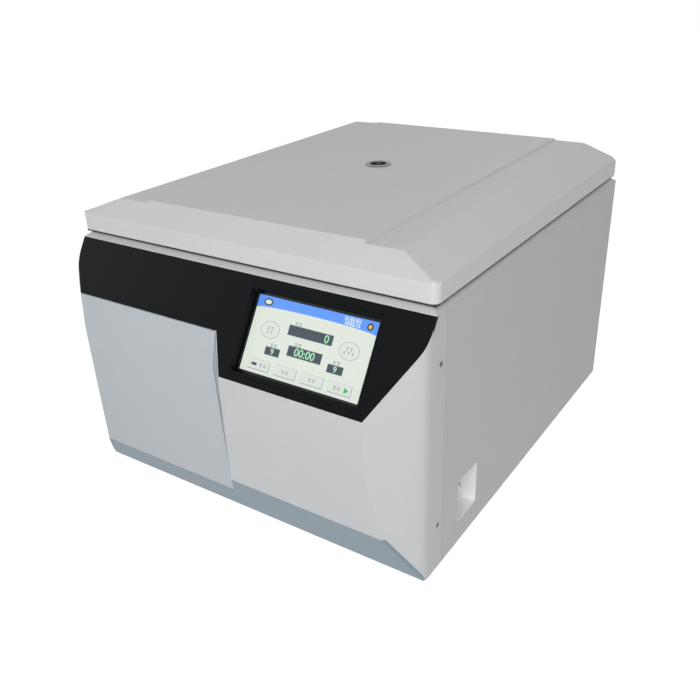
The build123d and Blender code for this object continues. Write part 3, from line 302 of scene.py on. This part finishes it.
def turned_metal(name, colour, roughness=0.3, pitch=1400.0):
    """Lathe-turned or anodised metal with rings about the spindle."""
    finish = Finish(name)
    low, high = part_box("rotor_body")
    centre = (low + high) / 2
    spot = finish.node("ShaderNodeTexCoord", output=3)
    spot = finish.node(
        "ShaderNodeMapping", {}, {"Vector": spot, "Location": (-centre.x, -centre.y, 0)}
    )
    flat = finish.node("ShaderNodeVectorMath", {"operation": "MULTIPLY"}, {0: spot, 1: (1, 1, 0)})
    radius = finish.node("ShaderNodeVectorMath", {"operation": "LENGTH"}, {0: flat}, output=1)
    rings = finish.node("ShaderNodeMath", {"operation": "SINE"}, {0: radius * pitch * 2.0})
    cloud = finish.noise(22.0, 4.0)
    rings = rings * 0.5 + 0.5
    finish.set(
        Base_Color=finish.mix(cloud, rgba(colour, 0.9), rgba(colour, 1.1)),
        Roughness=roughness - 0.05 + rings * 0.08 + cloud * 0.06,
        Metallic=1.0,
        Normal=finish.bump(rings, 0.12, 0.00003),
    )
    return finish.material


def rubber(name, colour):
    """Matt rubber with a soft bloom."""
    finish = Finish(name)
    cloud = finish.noise(45.0, 5.0)
    grain = finish.noise(1600.0, 2.0)
    finish.set(
        Base_Color=finish.mix(cloud, rgba(colour), rgba(colour, 1.7)),
        Roughness=0.62 + cloud * 0.2,
        Normal=finish.bump(grain, 0.4, 0.00005),
    )
    return finish.material


def polished(name, colour, roughness=0.1):
    """Polished or plated metal with faint handling marks."""
    finish = Finish(name)
    smear = finish.noise(120.0, 5.0)
    finish.set(
        Base_Color=finish.mix(smear, rgba(colour, 0.95), rgba(colour, 1.03)),
        Roughness=roughness + smear * 0.09,
        Metallic=1.0,
        Normal=finish.bump(smear, 0.08, 0.00004),
    )
    return finish.material


def smoked_glass(name, colour, alpha):
    """A dark or clear window with a slight smear."""
    finish = Finish(name)
    smear = finish.noise(70.0, 5.0)
    finish.set(
        Base_Color=finish.mix(smear, rgba(colour, 0.95), rgba(colour, 1.05)),
        Roughness=0.05 + smear * 0.08,
        Alpha=alpha,
    )
    return finish.material


def circuit(name, colour):
    """A circuit board with copper tracks under its green mask."""
    finish = Finish(name)
    tracks = finish.node(
        "ShaderNodeTexBrick",
        {"offset": 0.5},
        {"Vector": finish.place(), "Scale": 90.0, "Mortar Size": 0.05, "Color1": (0, 0, 0, 1),
         "Color2": (0.2, 0.2, 0.2, 1), "Mortar": (1, 1, 1, 1)},
    )
    grain = finish.noise(800.0, 2.0)
    finish.set(
        Base_Color=finish.mix(tracks, rgba(colour), rgba(colour, 2.0)),
        Roughness=0.35 + grain * 0.1,
        Normal=finish.bump(grain, 0.2, 0.00003),
    )
    return finish.material


def lit(name, colour, glow):
    """A part of the lit picture, with a faint unevenness."""
    finish = Finish(name)
    dots = finish.noise(700.0, 1.0)
    tone = finish.mix(dots, rgba(colour, 0.96), rgba(colour, 1.03))
    finish.set(
        Base_Color=finish.mix(dots, rgba(colour, 0.18), rgba(colour, 0.2)),
        Emission_Color=tone,
        Emission_Strength=glow,
        Roughness=0.35 + dots * 0.05,
    )
    return finish.material


def make_finishes():
    """Every finish of the record's slots by its slot's name."""
    shell = settings("centrifuge_shell")
    return {
        "lid_white": grained("Lid powder coat", shell.white, 0.42, 950.0, 0.00007, 0.45),
        "fascia_white": grained("Front moulding", shell.front, 0.40, 1100.0, 0.00004, 0.3),
        "cover_grey": grained("Cover moulding", shell.cover, 0.40, 1100.0, 0.00004, 0.3),
        "panel_grey": grained("Side powder coat", shell.sheet, 0.45, 900.0, 0.00008, 0.5),
        "plinth_blue": grained("Plinth moulding", shell.plinth, 0.42, 1100.0, 0.00004, 0.3),
        "plate_black": grained(
            "Console plate", shell.console, 0.4, 1500.0, 0.00005, 0.4, 0.12, 0.08
        ),
        "screen_glass": smoked_glass("Touch glass", (0.9, 0.92, 0.9), 0.2),
        "screen_panel": grained("Panel frame", (0.05, 0.05, 0.05), 0.5),
        "board_green": circuit("Circuit board", (0.01, 0.09, 0.035)),
        "steel": brushed("Chamber steel", (0.55, 0.56, 0.57), (700, 700, 25), 0.3),
        "armour_steel": grained("Guard primer", (0.06, 0.065, 0.07), 0.6),
        "cast_aluminium": grained("Cast housing", (0.42, 0.43, 0.44), 0.5, 500.0, 0.0002, 0.6),
        "rotor_aluminium": turned_metal("Anodised rotor", (0.30, 0.32, 0.35)),
        "rotor_lid_black": turned_metal("Black anodised lid", (0.03, 0.03, 0.035), 0.35),
        "rubber_black": rubber("Black rubber", (0.012, 0.012, 0.012)),
        "seal_grey": rubber("Seal rubber", (0.05, 0.05, 0.052)),
        "chrome": polished("Bright metal", (0.72, 0.73, 0.74)),
        "switch_black": grained("Black plastic", (0.014, 0.014, 0.015), 0.45, 1300.0, 0.00004, 0.4),
        "zinc_steel": brushed("Zinc plate", (0.52, 0.53, 0.50), (60, 60, 60), 0.38),
        "copper_winding": brushed("Copper winding", (0.55, 0.22, 0.08), (900, 900, 30), 0.35),
        "pin_brass": polished("Plated brass", (0.66, 0.55, 0.33), 0.2),
        "port_glass": smoked_glass("Smoked window", (0.01, 0.01, 0.01), 0.85),
    }


finishes = {}


# Modelling helpers
merge_distance = 0.000002
flat_angle = math.radians(0.4)
sharp_turn = 25
shortest_edge = 0.001
ridge_angle = math.radians(40)


def deselect():
    """Leave nothing selected and no object in edit mode."""
    if bpy.context.object and bpy.context.object.mode != "OBJECT":
        bpy.ops.object.mode_set(mode="OBJECT")
    bpy.ops.object.select_all(action="DESELECT")


def pick(piece):
    """Select one object alone and make it active."""
    deselect()
    piece.select_set(True)
    bpy.context.view_layer.objects.active = piece


def edit(piece):
    """Open a piece in edit mode with its whole mesh selected."""
    pick(piece)
    bpy.ops.object.mode_set(mode="EDIT")
    bpy.ops.mesh.select_all(action="SELECT")


def close_edit():
    bpy.ops.object.mode_set(mode="OBJECT")


def select_where(piece, kind, test):
    """Select the faces or edges of a piece that pass a test, in edit mode."""
    bpy.ops.mesh.select_mode(type="FACE" if kind == "polygons" else "EDGE")
    bpy.ops.mesh.select_all(action="DESELECT")
    bpy.ops.object.mode_set(mode="OBJECT")
    for element in getattr(piece.data, kind):
        element.select = test(element)
    bpy.ops.object.mode_set(mode="EDIT")


def apply_modifier(piece, kind, **options):
    """Add a modifier with its options and apply it."""
    pick(piece)
    modifier = piece.modifiers.new(kind.title(), kind)
    for name, value in options.items():
        setattr(modifier, name, value)
    bpy.ops.object.modifier_apply(modifier=modifier.name)


def settle(piece, name, body, slot, finish=None, angle=35.0, even=False):
    """Name a finished piece, apply its place, and give it a body, a slot and a finish.

    An even piece keeps its flat faces flat beside rounded edges.
    """
    pick(piece)
    bpy.ops.object.transform_apply(location=True, rotation=True, scale=True)
    bpy.ops.object.shade_smooth_by_angle(angle=math.radians(angle))
    if even:
        apply_modifier(piece, "WEIGHTED_NORMAL", weight=100, keep_sharp=True)
    piece.name = name
    piece.data.name = name
    piece.data.materials.clear()
    piece.data.materials.append(finish or finishes[slot])
    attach(piece, body)
    return piece


def cad_copy(node):
    """A merged copy of a CAD node's mesh, with flat faces whole again."""
    source = frame["nodes"][node]
    piece = bpy.data.objects.new(node + "_shell", source.data.copy())
    bpy.context.scene.collection.objects.link(piece)
    edit(piece)
    bpy.ops.mesh.remove_doubles(threshold=merge_distance)
    bpy.ops.mesh.dissolve_limited(angle_limit=flat_angle)
    close_edit()
    return piece


def faces_by_edge(mesh):
    """The faces on each edge, by the edge's key."""
    found = {}
    for polygon in mesh.polygons:
        for key in polygon.edge_keys:
            found.setdefault(key, []).append(polygon.index)
    return found


def round_edges(piece, width, choose, segments=3, clamp=True):
    """Round the edges of a piece by the share of a width that a rule gives each one."""
    mesh = piece.data
    faces = faces_by_edge(mesh)
    weight = mesh.attributes.new("bevel_weight_edge", "FLOAT", "EDGE")
    for edge in mesh.edges:
        pair = faces.get(edge.key, [])
        if len(pair) != 2:
            continue
        turn = mesh.polygons[pair[0]].normal.angle(mesh.polygons[pair[1]].normal)
        ends = [mesh.vertices[index].co for index in edge.vertices]
        weight.data[edge.index].value = choose(ends[0], ends[1], math.degrees(turn))
    apply_modifier(
        piece, "BEVEL", width=width, segments=segments, limit_method="WEIGHT",
        miter_outer="MITER_ARC", use_clamp_overlap=clamp,
    )


def sharp_and_long(first, second, turn):
    """A rule that rounds each edge that is neither shallow nor tiny."""
    return float(turn > sharp_turn and (first - second).length > shortest_edge)


def soften(node, width, name, segments=3, finish=None):
    """Stand in for a CAD node with the same shape and rounded edges."""
    piece = cad_copy(node)
    round_edges(piece, width, sharp_and_long, segments)
    settle(piece, name, node_bodies[node], node_slots[node], finish, even=True)
    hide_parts(node)
    return piece


# Shells
class CENTRIFUGE_OT_lid(bpy.types.Operator):
    """Add the lid's outer shell with its rounded edges, and the black rubber strip under its rim,
    partly a rim seal and partly painted shade in the gap between lid and deck
    """
    bl_idname = "centrifuge.lid"
    bl_label = "Lid shell"

    def execute(self, context):
        sizes = settings("centrifuge_shell")
        piece = cad_copy("lid_cover")
        low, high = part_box("lid_cover")
        middle = (low + high) / 2
        reach = (high - low) / 2
        shallowest = 6
        fold = 14
        near_rim = 0.962
        at_rim = 0.985
        shoulder_low = low.z + 0.0185
        shoulder_high = low.z + 0.0245
        lip_high = low.z + 0.0002
        panel_low = high.z - 0.0008
        crease_low = high.z - 0.003
        hip_rise = 0.008
        panel_length = 0.02
        crease_length = 0.04
        hip_share = 0.7
        panel_share = 0.1

        def lid_rule(first, second, turn):
            centre = (first + second) / 2
            outer = max(abs(centre.x - middle.x) / reach.x, abs(centre.y - middle.y) / reach.y)
            length = (first - second).length
            if turn < shallowest or length < shortest_edge:
                return 0.0
            if outer > near_rim and shoulder_low < centre.z < shoulder_high:
                return float(turn > fold)
            if outer > at_rim and centre.z < lip_high:
                return sizes.lid_lip / sizes.lid_shoulder
            if centre.z > shoulder_low and abs(first.z - second.z) > hip_rise and turn > fold:
                return hip_share
            if centre.z > panel_low and turn > fold and length > panel_length:
                return panel_share
            if centre.z > crease_low and length > crease_length:
                return sizes.lid_crease / sizes.lid_shoulder
            return 0.0

        round_edges(piece, sizes.lid_shoulder, lid_rule, 6, clamp=False)
        settle(piece, "lid_shell", "lid", "lid_white", angle=24.0, even=True)
        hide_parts("lid_cover")

        # A black rubber strip in the gap under the lid's rim: partly a rim seal, partly painted
        # shade where the gap lies in shadow.
        deck_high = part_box("top_deck")[1]
        strip_inset = 0.0022
        strip_width = 0.0045
        strip_gap = 0.0002
        strip_edge = 0.0006
        deselect()
        bpy.ops.mesh.primitive_cube_add(size=1)
        strip = bpy.context.object
        strip.location = (middle.x, middle.y, (deck_high.z + low.z) / 2 + strip_gap)
        strip.scale = (
            2 * (reach.x - strip_inset),
            2 * (reach.y - strip_inset),
            low.z - deck_high.z - 2 * strip_gap,
        )
        bpy.ops.object.transform_apply(location=True, rotation=False, scale=True)
        edit(strip)
        select_where(strip, "polygons", lambda face: abs(face.normal.z) > 0.9)
        bpy.ops.mesh.inset(thickness=strip_width)
        bpy.ops.mesh.bridge_edge_loops()
        close_edit()
        apply_modifier(
            strip, "BEVEL", width=strip_edge, segments=2, limit_method="ANGLE",
            angle_limit=ridge_angle,
        )
        settle(strip, "lid_rim_strip", "lid", "rubber_black")
        return {"FINISHED"}


class CENTRIFUGE_OT_shells(bpy.types.Operator):
    """Add the cabinet's shells with softened edges"""
    bl_idname = "centrifuge.shells"
    bl_label = "Cabinet shells"

    def execute(self, context):
        edge = settings("centrifuge_shell").panel_edge
        # Painted light: the switch pocket's moulding is lighter than the front moulding so that the
        # shaded recess reads as lit.
        bright = grained("Pocket moulding", (0.80, 0.80, 0.795), 0.45, 1100.0, 0.00004, 0.3)
        shells = (
            ("front_fascia", 1.0, "front_moulding"),
            ("front_left_cover", 1.0, "left_cover"),
            ("plinth_skirt", 0.5, "plinth"),
            ("console_plate", 0.5, "console_face"),
            ("display_tray", 0.35, "display_surround"),
            ("top_deck", 1.0, "deck"),
            ("left_side_panel", 0.6, "left_panel"),
            ("right_side_panel", 0.6, "right_panel"),
            ("rear_panel", 0.3, "back_panel"),
            ("switch_pocket", 0.4, "pocket_tray"),
            ("switch_body", 0.4, "switch_case"),
            ("power_rocker", 0.4, "rocker_cap"),
            ("mains_inlet", 0.4, "inlet_case"),
            ("fuse_drawer", 0.4, "fuse_cap"),
        )
        for node, share, name in shells:
            # The switch pocket takes the lightened moulding, painted light in its recess.
            finish = bright if node == "switch_pocket" else None
            soften(node, edge * share, name, finish=finish)
        return {"FINISHED"}


# Lit picture on the display
tile_thickness = 0.00008
levels = (0.00012, 0.00024, 0.00036, 0.00048)
stem_level = 0.0005
border_level = 0.00004
border_gap = 0.0004
page_corner = 0.0004
key_corner = 0.0006
key_shift = 0.0015
digit_depth = 0.00003
digit_swell = 0.00012


def picture_plane():
    """The middle of the glass, and the picture's right, up and outward directions."""
    low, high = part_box("display_glass")
    corners = [vertex.co for vertex in frame["nodes"]["display_glass"].data.vertices]
    outward = max(
        (polygon.normal for polygon in frame["nodes"]["display_glass"].data.polygons),
        key=lambda normal: -normal.y * 2 + normal.z,
    ).copy()
    outward.x = 0.0
    outward.normalize()
    right = Vector((1, 0, 0))
    up = outward.cross(right).normalized()
    middle = (low + high) / 2
    face = max((corner - middle).dot(outward) for corner in corners)
    return middle + outward * face, right, up, outward


def picture_matrix(across, down, raised, spin=0.0):
    """The place on the picture for shares across and down it, turned in its plane by an angle."""
    sizes = settings("centrifuge_screen")
    middle, right, up, outward = picture_plane()
    middle = middle + right * sizes.shift
    spot = middle + right * (across - 0.5) * sizes.width + up * (0.5 - down) * sizes.height
    spot = spot + outward * raised
    turn = Matrix((right, up, outward)).transposed().to_4x4()
    return Matrix.Translation(spot) @ turn @ Matrix.Rotation(spin, 4, "Z")


def picture_slab(
    name, across, down, width, height, raised, finish, corner=0.0, sides=0, spin=0.0
):
    """A thin tile of the picture: a box with rounded corners, or a disc with many sides."""
    sizes = settings("centrifuge_screen")
    deselect()
    if sides:
        bpy.ops.mesh.primitive_cylinder_add(vertices=sides, radius=0.5, depth=1)
    else:
        bpy.ops.mesh.primitive_cube_add(size=1)
    piece = bpy.context.object
    piece.scale = (width * sizes.width, height * sizes.height, tile_thickness)
    bpy.ops.object.transform_apply(location=False, rotation=False, scale=True)
    if corner:
        mesh = piece.data
        weight = mesh.attributes.new("bevel_weight_edge", "FLOAT", "EDGE")
        for edge in mesh.edges:
            ends = [mesh.vertices[index].co for index in edge.vertices]
            upright = abs(ends[0].z - ends[1].z) > tile_thickness / 2
            weight.data[edge.index].value = float(upright)
        apply_modifier(piece, "BEVEL", width=corner, segments=4, limit_method="WEIGHT")
    piece.matrix_world = picture_matrix(across, down, raised, spin)
    return settle(piece, name, "cabinet", "screen_panel", finish)


def picture_digits(name, text, across, down, height, finish):
    """Plain digits on the picture, as a flat mesh."""
    sizes = settings("centrifuge_screen")
    line_height = 1.35
    deselect()
    bpy.ops.object.text_add()
    piece = bpy.context.object
    piece.data.body = text
    piece.data.align_x = "CENTER"
    piece.data.align_y = "CENTER"
    piece.data.size = height * sizes.height * line_height
    piece.data.extrude = digit_depth
    piece.data.offset = digit_swell
    bpy.ops.object.convert(target="MESH")
    piece = bpy.context.object
    piece.matrix_world = picture_matrix(across, down, levels[3])
    return settle(piece, name, "cabinet", "screen_panel", finish)


def picture_marks(name, across, down, count, finish):
    """A short row of small marks that stands for a caption."""
    sizes = settings("centrifuge_screen")
    wide = 0.026
    tall = wide * sizes.width / sizes.height
    pitch = wide * 1.25
    strokes = (
        ("_top", -0.32, 1.0, 0.16, levels[3]),
        ("_stem", 0.0, 0.18, 0.8, stem_level),
        ("_foot", 0.3, 0.8, 0.16, levels[3]),
    )
    for index in range(count):
        place = across + (index - (count - 1) / 2) * pitch
        for part, drop, width, height, level in strokes:
            picture_slab(
                f"{name}_{index + 1}{part}", place, down + tall * drop, wide * width,
                tall * height, level, finish,
            )


class CENTRIFUGE_OT_screen(bpy.types.Operator):
    """Add the lit picture of the touch display"""
    bl_idname = "centrifuge.screen"
    bl_label = "Lit picture"

    def execute(self, context):
        sizes = settings("centrifuge_screen")
        glow = sizes.glow
        page = lit("Picture ground", sizes.page, glow)
        header = lit("Picture header", sizes.header, glow)
        readout = lit("Picture readout", sizes.readout, glow)
        digit = lit("Picture digits", sizes.digit, glow)
        button = lit("Picture button", (0.72, 0.76, 0.70), glow)
        outline = lit("Picture outline", (0.30, 0.36, 0.36), glow)
        gold = lit("Picture gold", (0.75, 0.55, 0.10), glow)
        dark = lit("Picture dark", (0.03, 0.035, 0.04), glow)
        green = lit("Picture green", (0.03, 0.45, 0.12), glow)
        ink = lit("Picture ink", (0.22, 0.27, 0.27), glow)
        white = lit("Picture white", (0.9, 0.95, 1.0), glow)
        black = grained("Glass border", (0.004, 0.004, 0.005), 0.2, 1500.0, 0.00001, 0.2)
        glass_low, glass_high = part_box("display_glass")
        border_width = glass_high.x - glass_low.x - border_gap
        border_height = border_width - (sizes.width - sizes.height)
        picture_slab(
            "screen_border", 0.5 - sizes.shift / sizes.width, 0.5, border_width / sizes.width,
            border_height / sizes.height, border_level, black,
        )
        picture_slab("screen_page", 0.5, 0.5, 1.0, 1.0, levels[0], page, page_corner)
        picture_slab("screen_header", 0.5, 0.081, 0.998, 0.162, levels[1], header, page_corner)
        picture_slab(
            "screen_header_arch", 0.5, 0.17, 0.985, 0.095, levels[2], page, sides=120
        )
        for index, (across, down, wide, high) in enumerate(
            ((0.504, 0.353, 0.366, 0.125), (0.5, 0.608, 0.28, 0.127),
             (0.235, 0.681, 0.122, 0.098), (0.764, 0.681, 0.122, 0.098))
        ):
            name = f"screen_readout_{index + 1}"
            picture_slab(
                name + "_rim", across, down, wide + 0.006, high + 0.011, levels[1], outline
            )
            picture_slab(name, across, down, wide, high, levels[2], readout)
        picture_digits("screen_digit_speed", "0", 0.64, 0.356, 0.105, digit)
        picture_digits("screen_digits_time", "00:00", 0.5, 0.611, 0.105, digit)
        picture_digits("screen_digit_left", "9", 0.235, 0.684, 0.08, digit)
        picture_digits("screen_digit_right", "9", 0.764, 0.684, 0.08, digit)
        for index, across in enumerate((0.169, 0.832)):
            name = f"screen_round_button_{index + 1}"
            picture_slab(name + "_rim", across, 0.42, 0.163, 0.222, levels[1], outline, sides=64)
            picture_slab(name, across, 0.42, 0.156, 0.209, levels[2], button, sides=64)
            picture_slab(name + "_crown", across, 0.42, 0.12, 0.16, levels[3], page, sides=64)
        for index, across in enumerate((0.156, 0.386, 0.612, 0.84)):
            name = f"screen_key_{index + 1}"
            picture_slab(
                name + "_rim", across, 0.887, 0.184, 0.14, levels[1], outline, key_corner
            )
            picture_slab(
                name, across - key_shift, 0.884, 0.178, 0.128, levels[2], button, key_corner
            )
        picture_digits("screen_clock", "10:02:13", 0.8, 0.1, 0.05, white)
        picture_digits("screen_date", "01/01/01", 0.8, 0.045, 0.05, white)
        for index, (across, down, count) in enumerate(
            ((0.169, 0.395, 2), (0.169, 0.45, 2), (0.832, 0.395, 2), (0.832, 0.45, 3),
             (0.39, 0.262, 2), (0.43, 0.515, 2), (0.235, 0.6, 2), (0.764, 0.6, 2),
             (0.19, 0.887, 2), (0.386, 0.887, 2), (0.612, 0.887, 2), (0.815, 0.887, 2))
        ):
            picture_marks(f"screen_caption_{index + 1}", across, down, count, ink)
        picture_slab("screen_key_icon", 0.114, 0.886, 0.045, 0.034, levels[3], dark)
        picture_slab(
            "screen_play_mark", 0.886, 0.888, 0.048, 0.087, levels[3], green, sides=3,
            spin=-math.pi / 2,
        )
        for name, across, down, wide, high, level, finish in (
            ("left", 0.092, 0.076, 0.08, 0.095, levels[2], dark),
            ("left_core", 0.092, 0.076, 0.056, 0.06, levels[3], page),
            ("right", 0.938, 0.078, 0.05, 0.09, levels[2], dark),
            ("right_core", 0.938, 0.078, 0.026, 0.05, levels[3], gold),
        ):
            picture_slab(
                "screen_badge_" + name, across, down, wide, high, level, finish, sides=40
            )
        return {"FINISHED"}


# Pin in the lid's port
class CENTRIFUGE_OT_port(bpy.types.Operator):
    """Add the bright pin that stands on the window of the lid's port"""
    bl_idname = "centrifuge.port"
    bl_label = "Port plug"

    def execute(self, context):
        low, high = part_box("port_sleeve")
        window_low, window_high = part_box("port_window")
        centre = (low + high) / 2
        radius = (window_high.x - window_low.x) / 2
        pin_radius = radius * 0.45
        step = radius * 0.1
        crown_rise = 0.0035
        crown_dimple = 0.0015
        crown_edge = 0.0005
        foot = window_high.z + 0.0002
        head = high.z - 0.007
        deselect()
        bpy.ops.mesh.primitive_cylinder_add(
            vertices=64, radius=pin_radius, depth=head - foot,
            location=(centre.x, centre.y, (head + foot) / 2),
        )
        piece = bpy.context.object
        edit(piece)
        select_where(piece, "polygons", lambda face: face.normal.z > 0.9)
        for rise in (crown_rise, -crown_dimple):
            bpy.ops.mesh.inset(thickness=step)
            bpy.ops.mesh.extrude_region_move(TRANSFORM_OT_translate={"value": (0, 0, rise)})
        close_edit()
        apply_modifier(
            piece, "BEVEL", width=crown_edge, segments=3, limit_method="ANGLE",
            angle_limit=ridge_angle,
        )
        settle(piece, "port_plug", "lid", "chrome")
        return {"FINISHED"}


# Finishes of the CAD nodes
class CENTRIFUGE_OT_finishes(bpy.types.Operator):
    """Give every CAD node the finish of its slot, with the port ring and front screws darkened as
    painted shade of the port's bore and the screw recesses
    """
    bl_idname = "centrifuge.finishes"
    bl_label = "Finishes"

    def execute(self, context):
        finishes.update(make_finishes())
        for node, piece in frame["nodes"].items():
            piece.data.materials.clear()
            piece.data.materials.append(finishes[node_slots[node]])
            pick(piece)
            bpy.ops.object.shade_smooth_by_angle(angle=math.radians(30))
        # Painted shade: the port's sleeve and the front screws get dark colours for the shade down
        # the port's bore and in the screw recesses.
        dark = {
            "port_sleeve": polished("Port ring", (0.16, 0.16, 0.165), 0.3),
            "fascia_screws": polished("Dark screws", (0.10, 0.10, 0.10), 0.35),
        }
        for node, finish in dark.items():
            frame["nodes"][node].data.materials[0] = finish
        return {"FINISHED"}


# Floor, lamps and camera
lamp_target = (0, 0, 0.2)
fill_share = 0.12
rim_share = 0.09
sky_colour = (0.97, 0.985, 1.0, 1)
white_level = (1, 1, 1, 1)


def area_lamp(name, place, size, power):
    """A square soft lamp that faces the middle of the object."""
    deselect()
    bpy.ops.object.light_add(type="AREA", location=place)
    lamp = bpy.context.object
    lamp.name = name
    lamp.data.size = size
    lamp.data.energy = power
    aim = Vector(lamp_target) - Vector(place)
    lamp.rotation_euler = aim.to_track_quat("-Z", "Y").to_euler()


class CENTRIFUGE_OT_stage(bpy.types.Operator):
    """Add the floor, the lamps and the camera"""
    bl_idname = "centrifuge.stage"
    bl_label = "Stage"

    def execute(self, context):
        sizes = settings("centrifuge_stage")
        deselect()
        bpy.ops.mesh.primitive_plane_add(size=sizes.floor_size)
        floor = bpy.context.object
        floor.name = "floor"
        paint = Finish("Pale floor")
        level = sizes.floor_level
        paint.set(Base_Color=(level, level, level, 1), Roughness=0.9)
        shine_strength = 1.3
        shine_share = 0.72
        shine = paint.node(
            "ShaderNodeEmission", {}, {"Color": white_level, "Strength": shine_strength}
        )
        ray = paint.node("ShaderNodeLightPath")
        glossy = paint.node("ShaderNodeLightPath", output=3)
        through = paint.node("ShaderNodeLightPath", output=7)
        seen = paint.node("ShaderNodeMath", {"operation": "MAXIMUM"}, {0: ray, 1: glossy})
        seen = paint.node("ShaderNodeMath", {"operation": "MAXIMUM"}, {0: seen, 1: through})
        blend = paint.tree.nodes.new("ShaderNodeMixShader")
        paint.feed(blend.inputs[0], seen * shine_share)
        paint.tree.links.new(paint.shader.outputs[0], blend.inputs[1])
        paint.tree.links.new(shine.socket, blend.inputs[2])
        paint.tree.links.new(blend.outputs[0], paint.tree.nodes["Material Output"].inputs[0])
        floor.data.materials.append(paint.material)

        world = bpy.data.worlds.new("Soft sky")
        context.scene.world = world
        world.use_nodes = True
        tree = world.node_tree
        tree.nodes.clear()
        output = tree.nodes.new("ShaderNodeOutputWorld")
        soft = tree.nodes.new("ShaderNodeBackground")
        soft.inputs[0].default_value = sky_colour
        soft.inputs[1].default_value = sizes.sky
        white = tree.nodes.new("ShaderNodeBackground")
        white.inputs[0].default_value = white_level
        white.inputs[1].default_value = 1.0
        path = tree.nodes.new("ShaderNodeLightPath")
        either = tree.nodes.new("ShaderNodeMath")
        either.operation = "MAXIMUM"
        every = tree.nodes.new("ShaderNodeMath")
        every.operation = "MAXIMUM"
        mixer = tree.nodes.new("ShaderNodeMixShader")
        tree.links.new(path.outputs["Is Camera Ray"], either.inputs[0])
        tree.links.new(path.outputs["Is Transmission Ray"], either.inputs[1])
        tree.links.new(either.outputs[0], every.inputs[0])
        tree.links.new(path.outputs["Is Glossy Ray"], every.inputs[1])
        tree.links.new(every.outputs[0], mixer.inputs[0])
        tree.links.new(soft.outputs[0], mixer.inputs[1])
        tree.links.new(white.outputs[0], mixer.inputs[2])
        tree.links.new(mixer.outputs[0], output.inputs[0])

        area_lamp("key", (1.05, -2.0, 1.45), 1.5, sizes.key_power)
        area_lamp("fill", (-2.2, -1.4, 1.6), 1.6, sizes.key_power * fill_share)
        area_lamp("rim", (-0.3, 2.4, 2.0), 1.6, sizes.key_power * rim_share)

        view = settings("centrifuge_camera")
        forward = Vector((
            -math.sin(view.turn) * math.cos(view.pitch),
            math.cos(view.turn) * math.cos(view.pitch),
            -math.sin(view.pitch),
        ))
        right = Vector((math.cos(view.turn), math.sin(view.turn), 0))
        up = right.cross(forward)
        level = math.cos(view.roll)
        lean = math.sin(view.roll)
        side = right * level + up * lean
        top = up * level - right * lean
        turn = Matrix((side, top, -forward)).transposed().to_4x4()
        deselect()
        bpy.ops.object.camera_add()
        camera = bpy.context.object
        camera.name = "camera"
        camera.matrix_world = Matrix.Translation(view.place) @ turn
        camera.data.lens = view.lens
        camera.data.sensor_width = 36.0
        camera.data.clip_start = 0.01
        context.scene.camera = camera
        context.scene.view_settings.view_transform = "Standard"
        return {"FINISHED"}


class CENTRIFUGE_PT_panel(bpy.types.Panel):
    """Lists the steps that dress the centrifuge"""
    bl_label = "Centrifuge"
    bl_idname = "CENTRIFUGE_PT_panel"
    bl_space_type = "VIEW_3D"
    bl_region_type = "UI"
    bl_category = "Centrifuge"

    def draw(self, context):
        for step in steps:
            self.layout.operator(step.bl_idname)


steps = (
    CENTRIFUGE_OT_finishes,
    CENTRIFUGE_OT_lid,
    CENTRIFUGE_OT_shells,
    CENTRIFUGE_OT_screen,
    CENTRIFUGE_OT_port,
    CENTRIFUGE_OT_stage,
)
groups = {
    "centrifuge_camera": CameraSizes,
    "centrifuge_shell": ShellSizes,
    "centrifuge_screen": ScreenSizes,
    "centrifuge_stage": StageSizes,
}


def register():
    for group in groups.values():
        bpy.utils.register_class(group)
    for step in steps:
        bpy.utils.register_class(step)
    bpy.utils.register_class(CENTRIFUGE_PT_panel)
    for name, group in groups.items():
        setattr(bpy.types.Scene, name, PointerProperty(type=group))


def unregister():
    for name in groups:
        delattr(bpy.types.Scene, name)
    bpy.utils.unregister_class(CENTRIFUGE_PT_panel)
    for step in reversed(steps):
        bpy.utils.unregister_class(step)
    for group in reversed(groups.values()):
        bpy.utils.unregister_class(group)


def main():
    register()
    bpy.ops.centrifuge.finishes()
    bpy.ops.centrifuge.lid()
    bpy.ops.centrifuge.shells()
    bpy.ops.centrifuge.screen()
    bpy.ops.centrifuge.port()
    bpy.ops.centrifuge.stage()
    deselect()


if __name__ == "__main__":
    main()
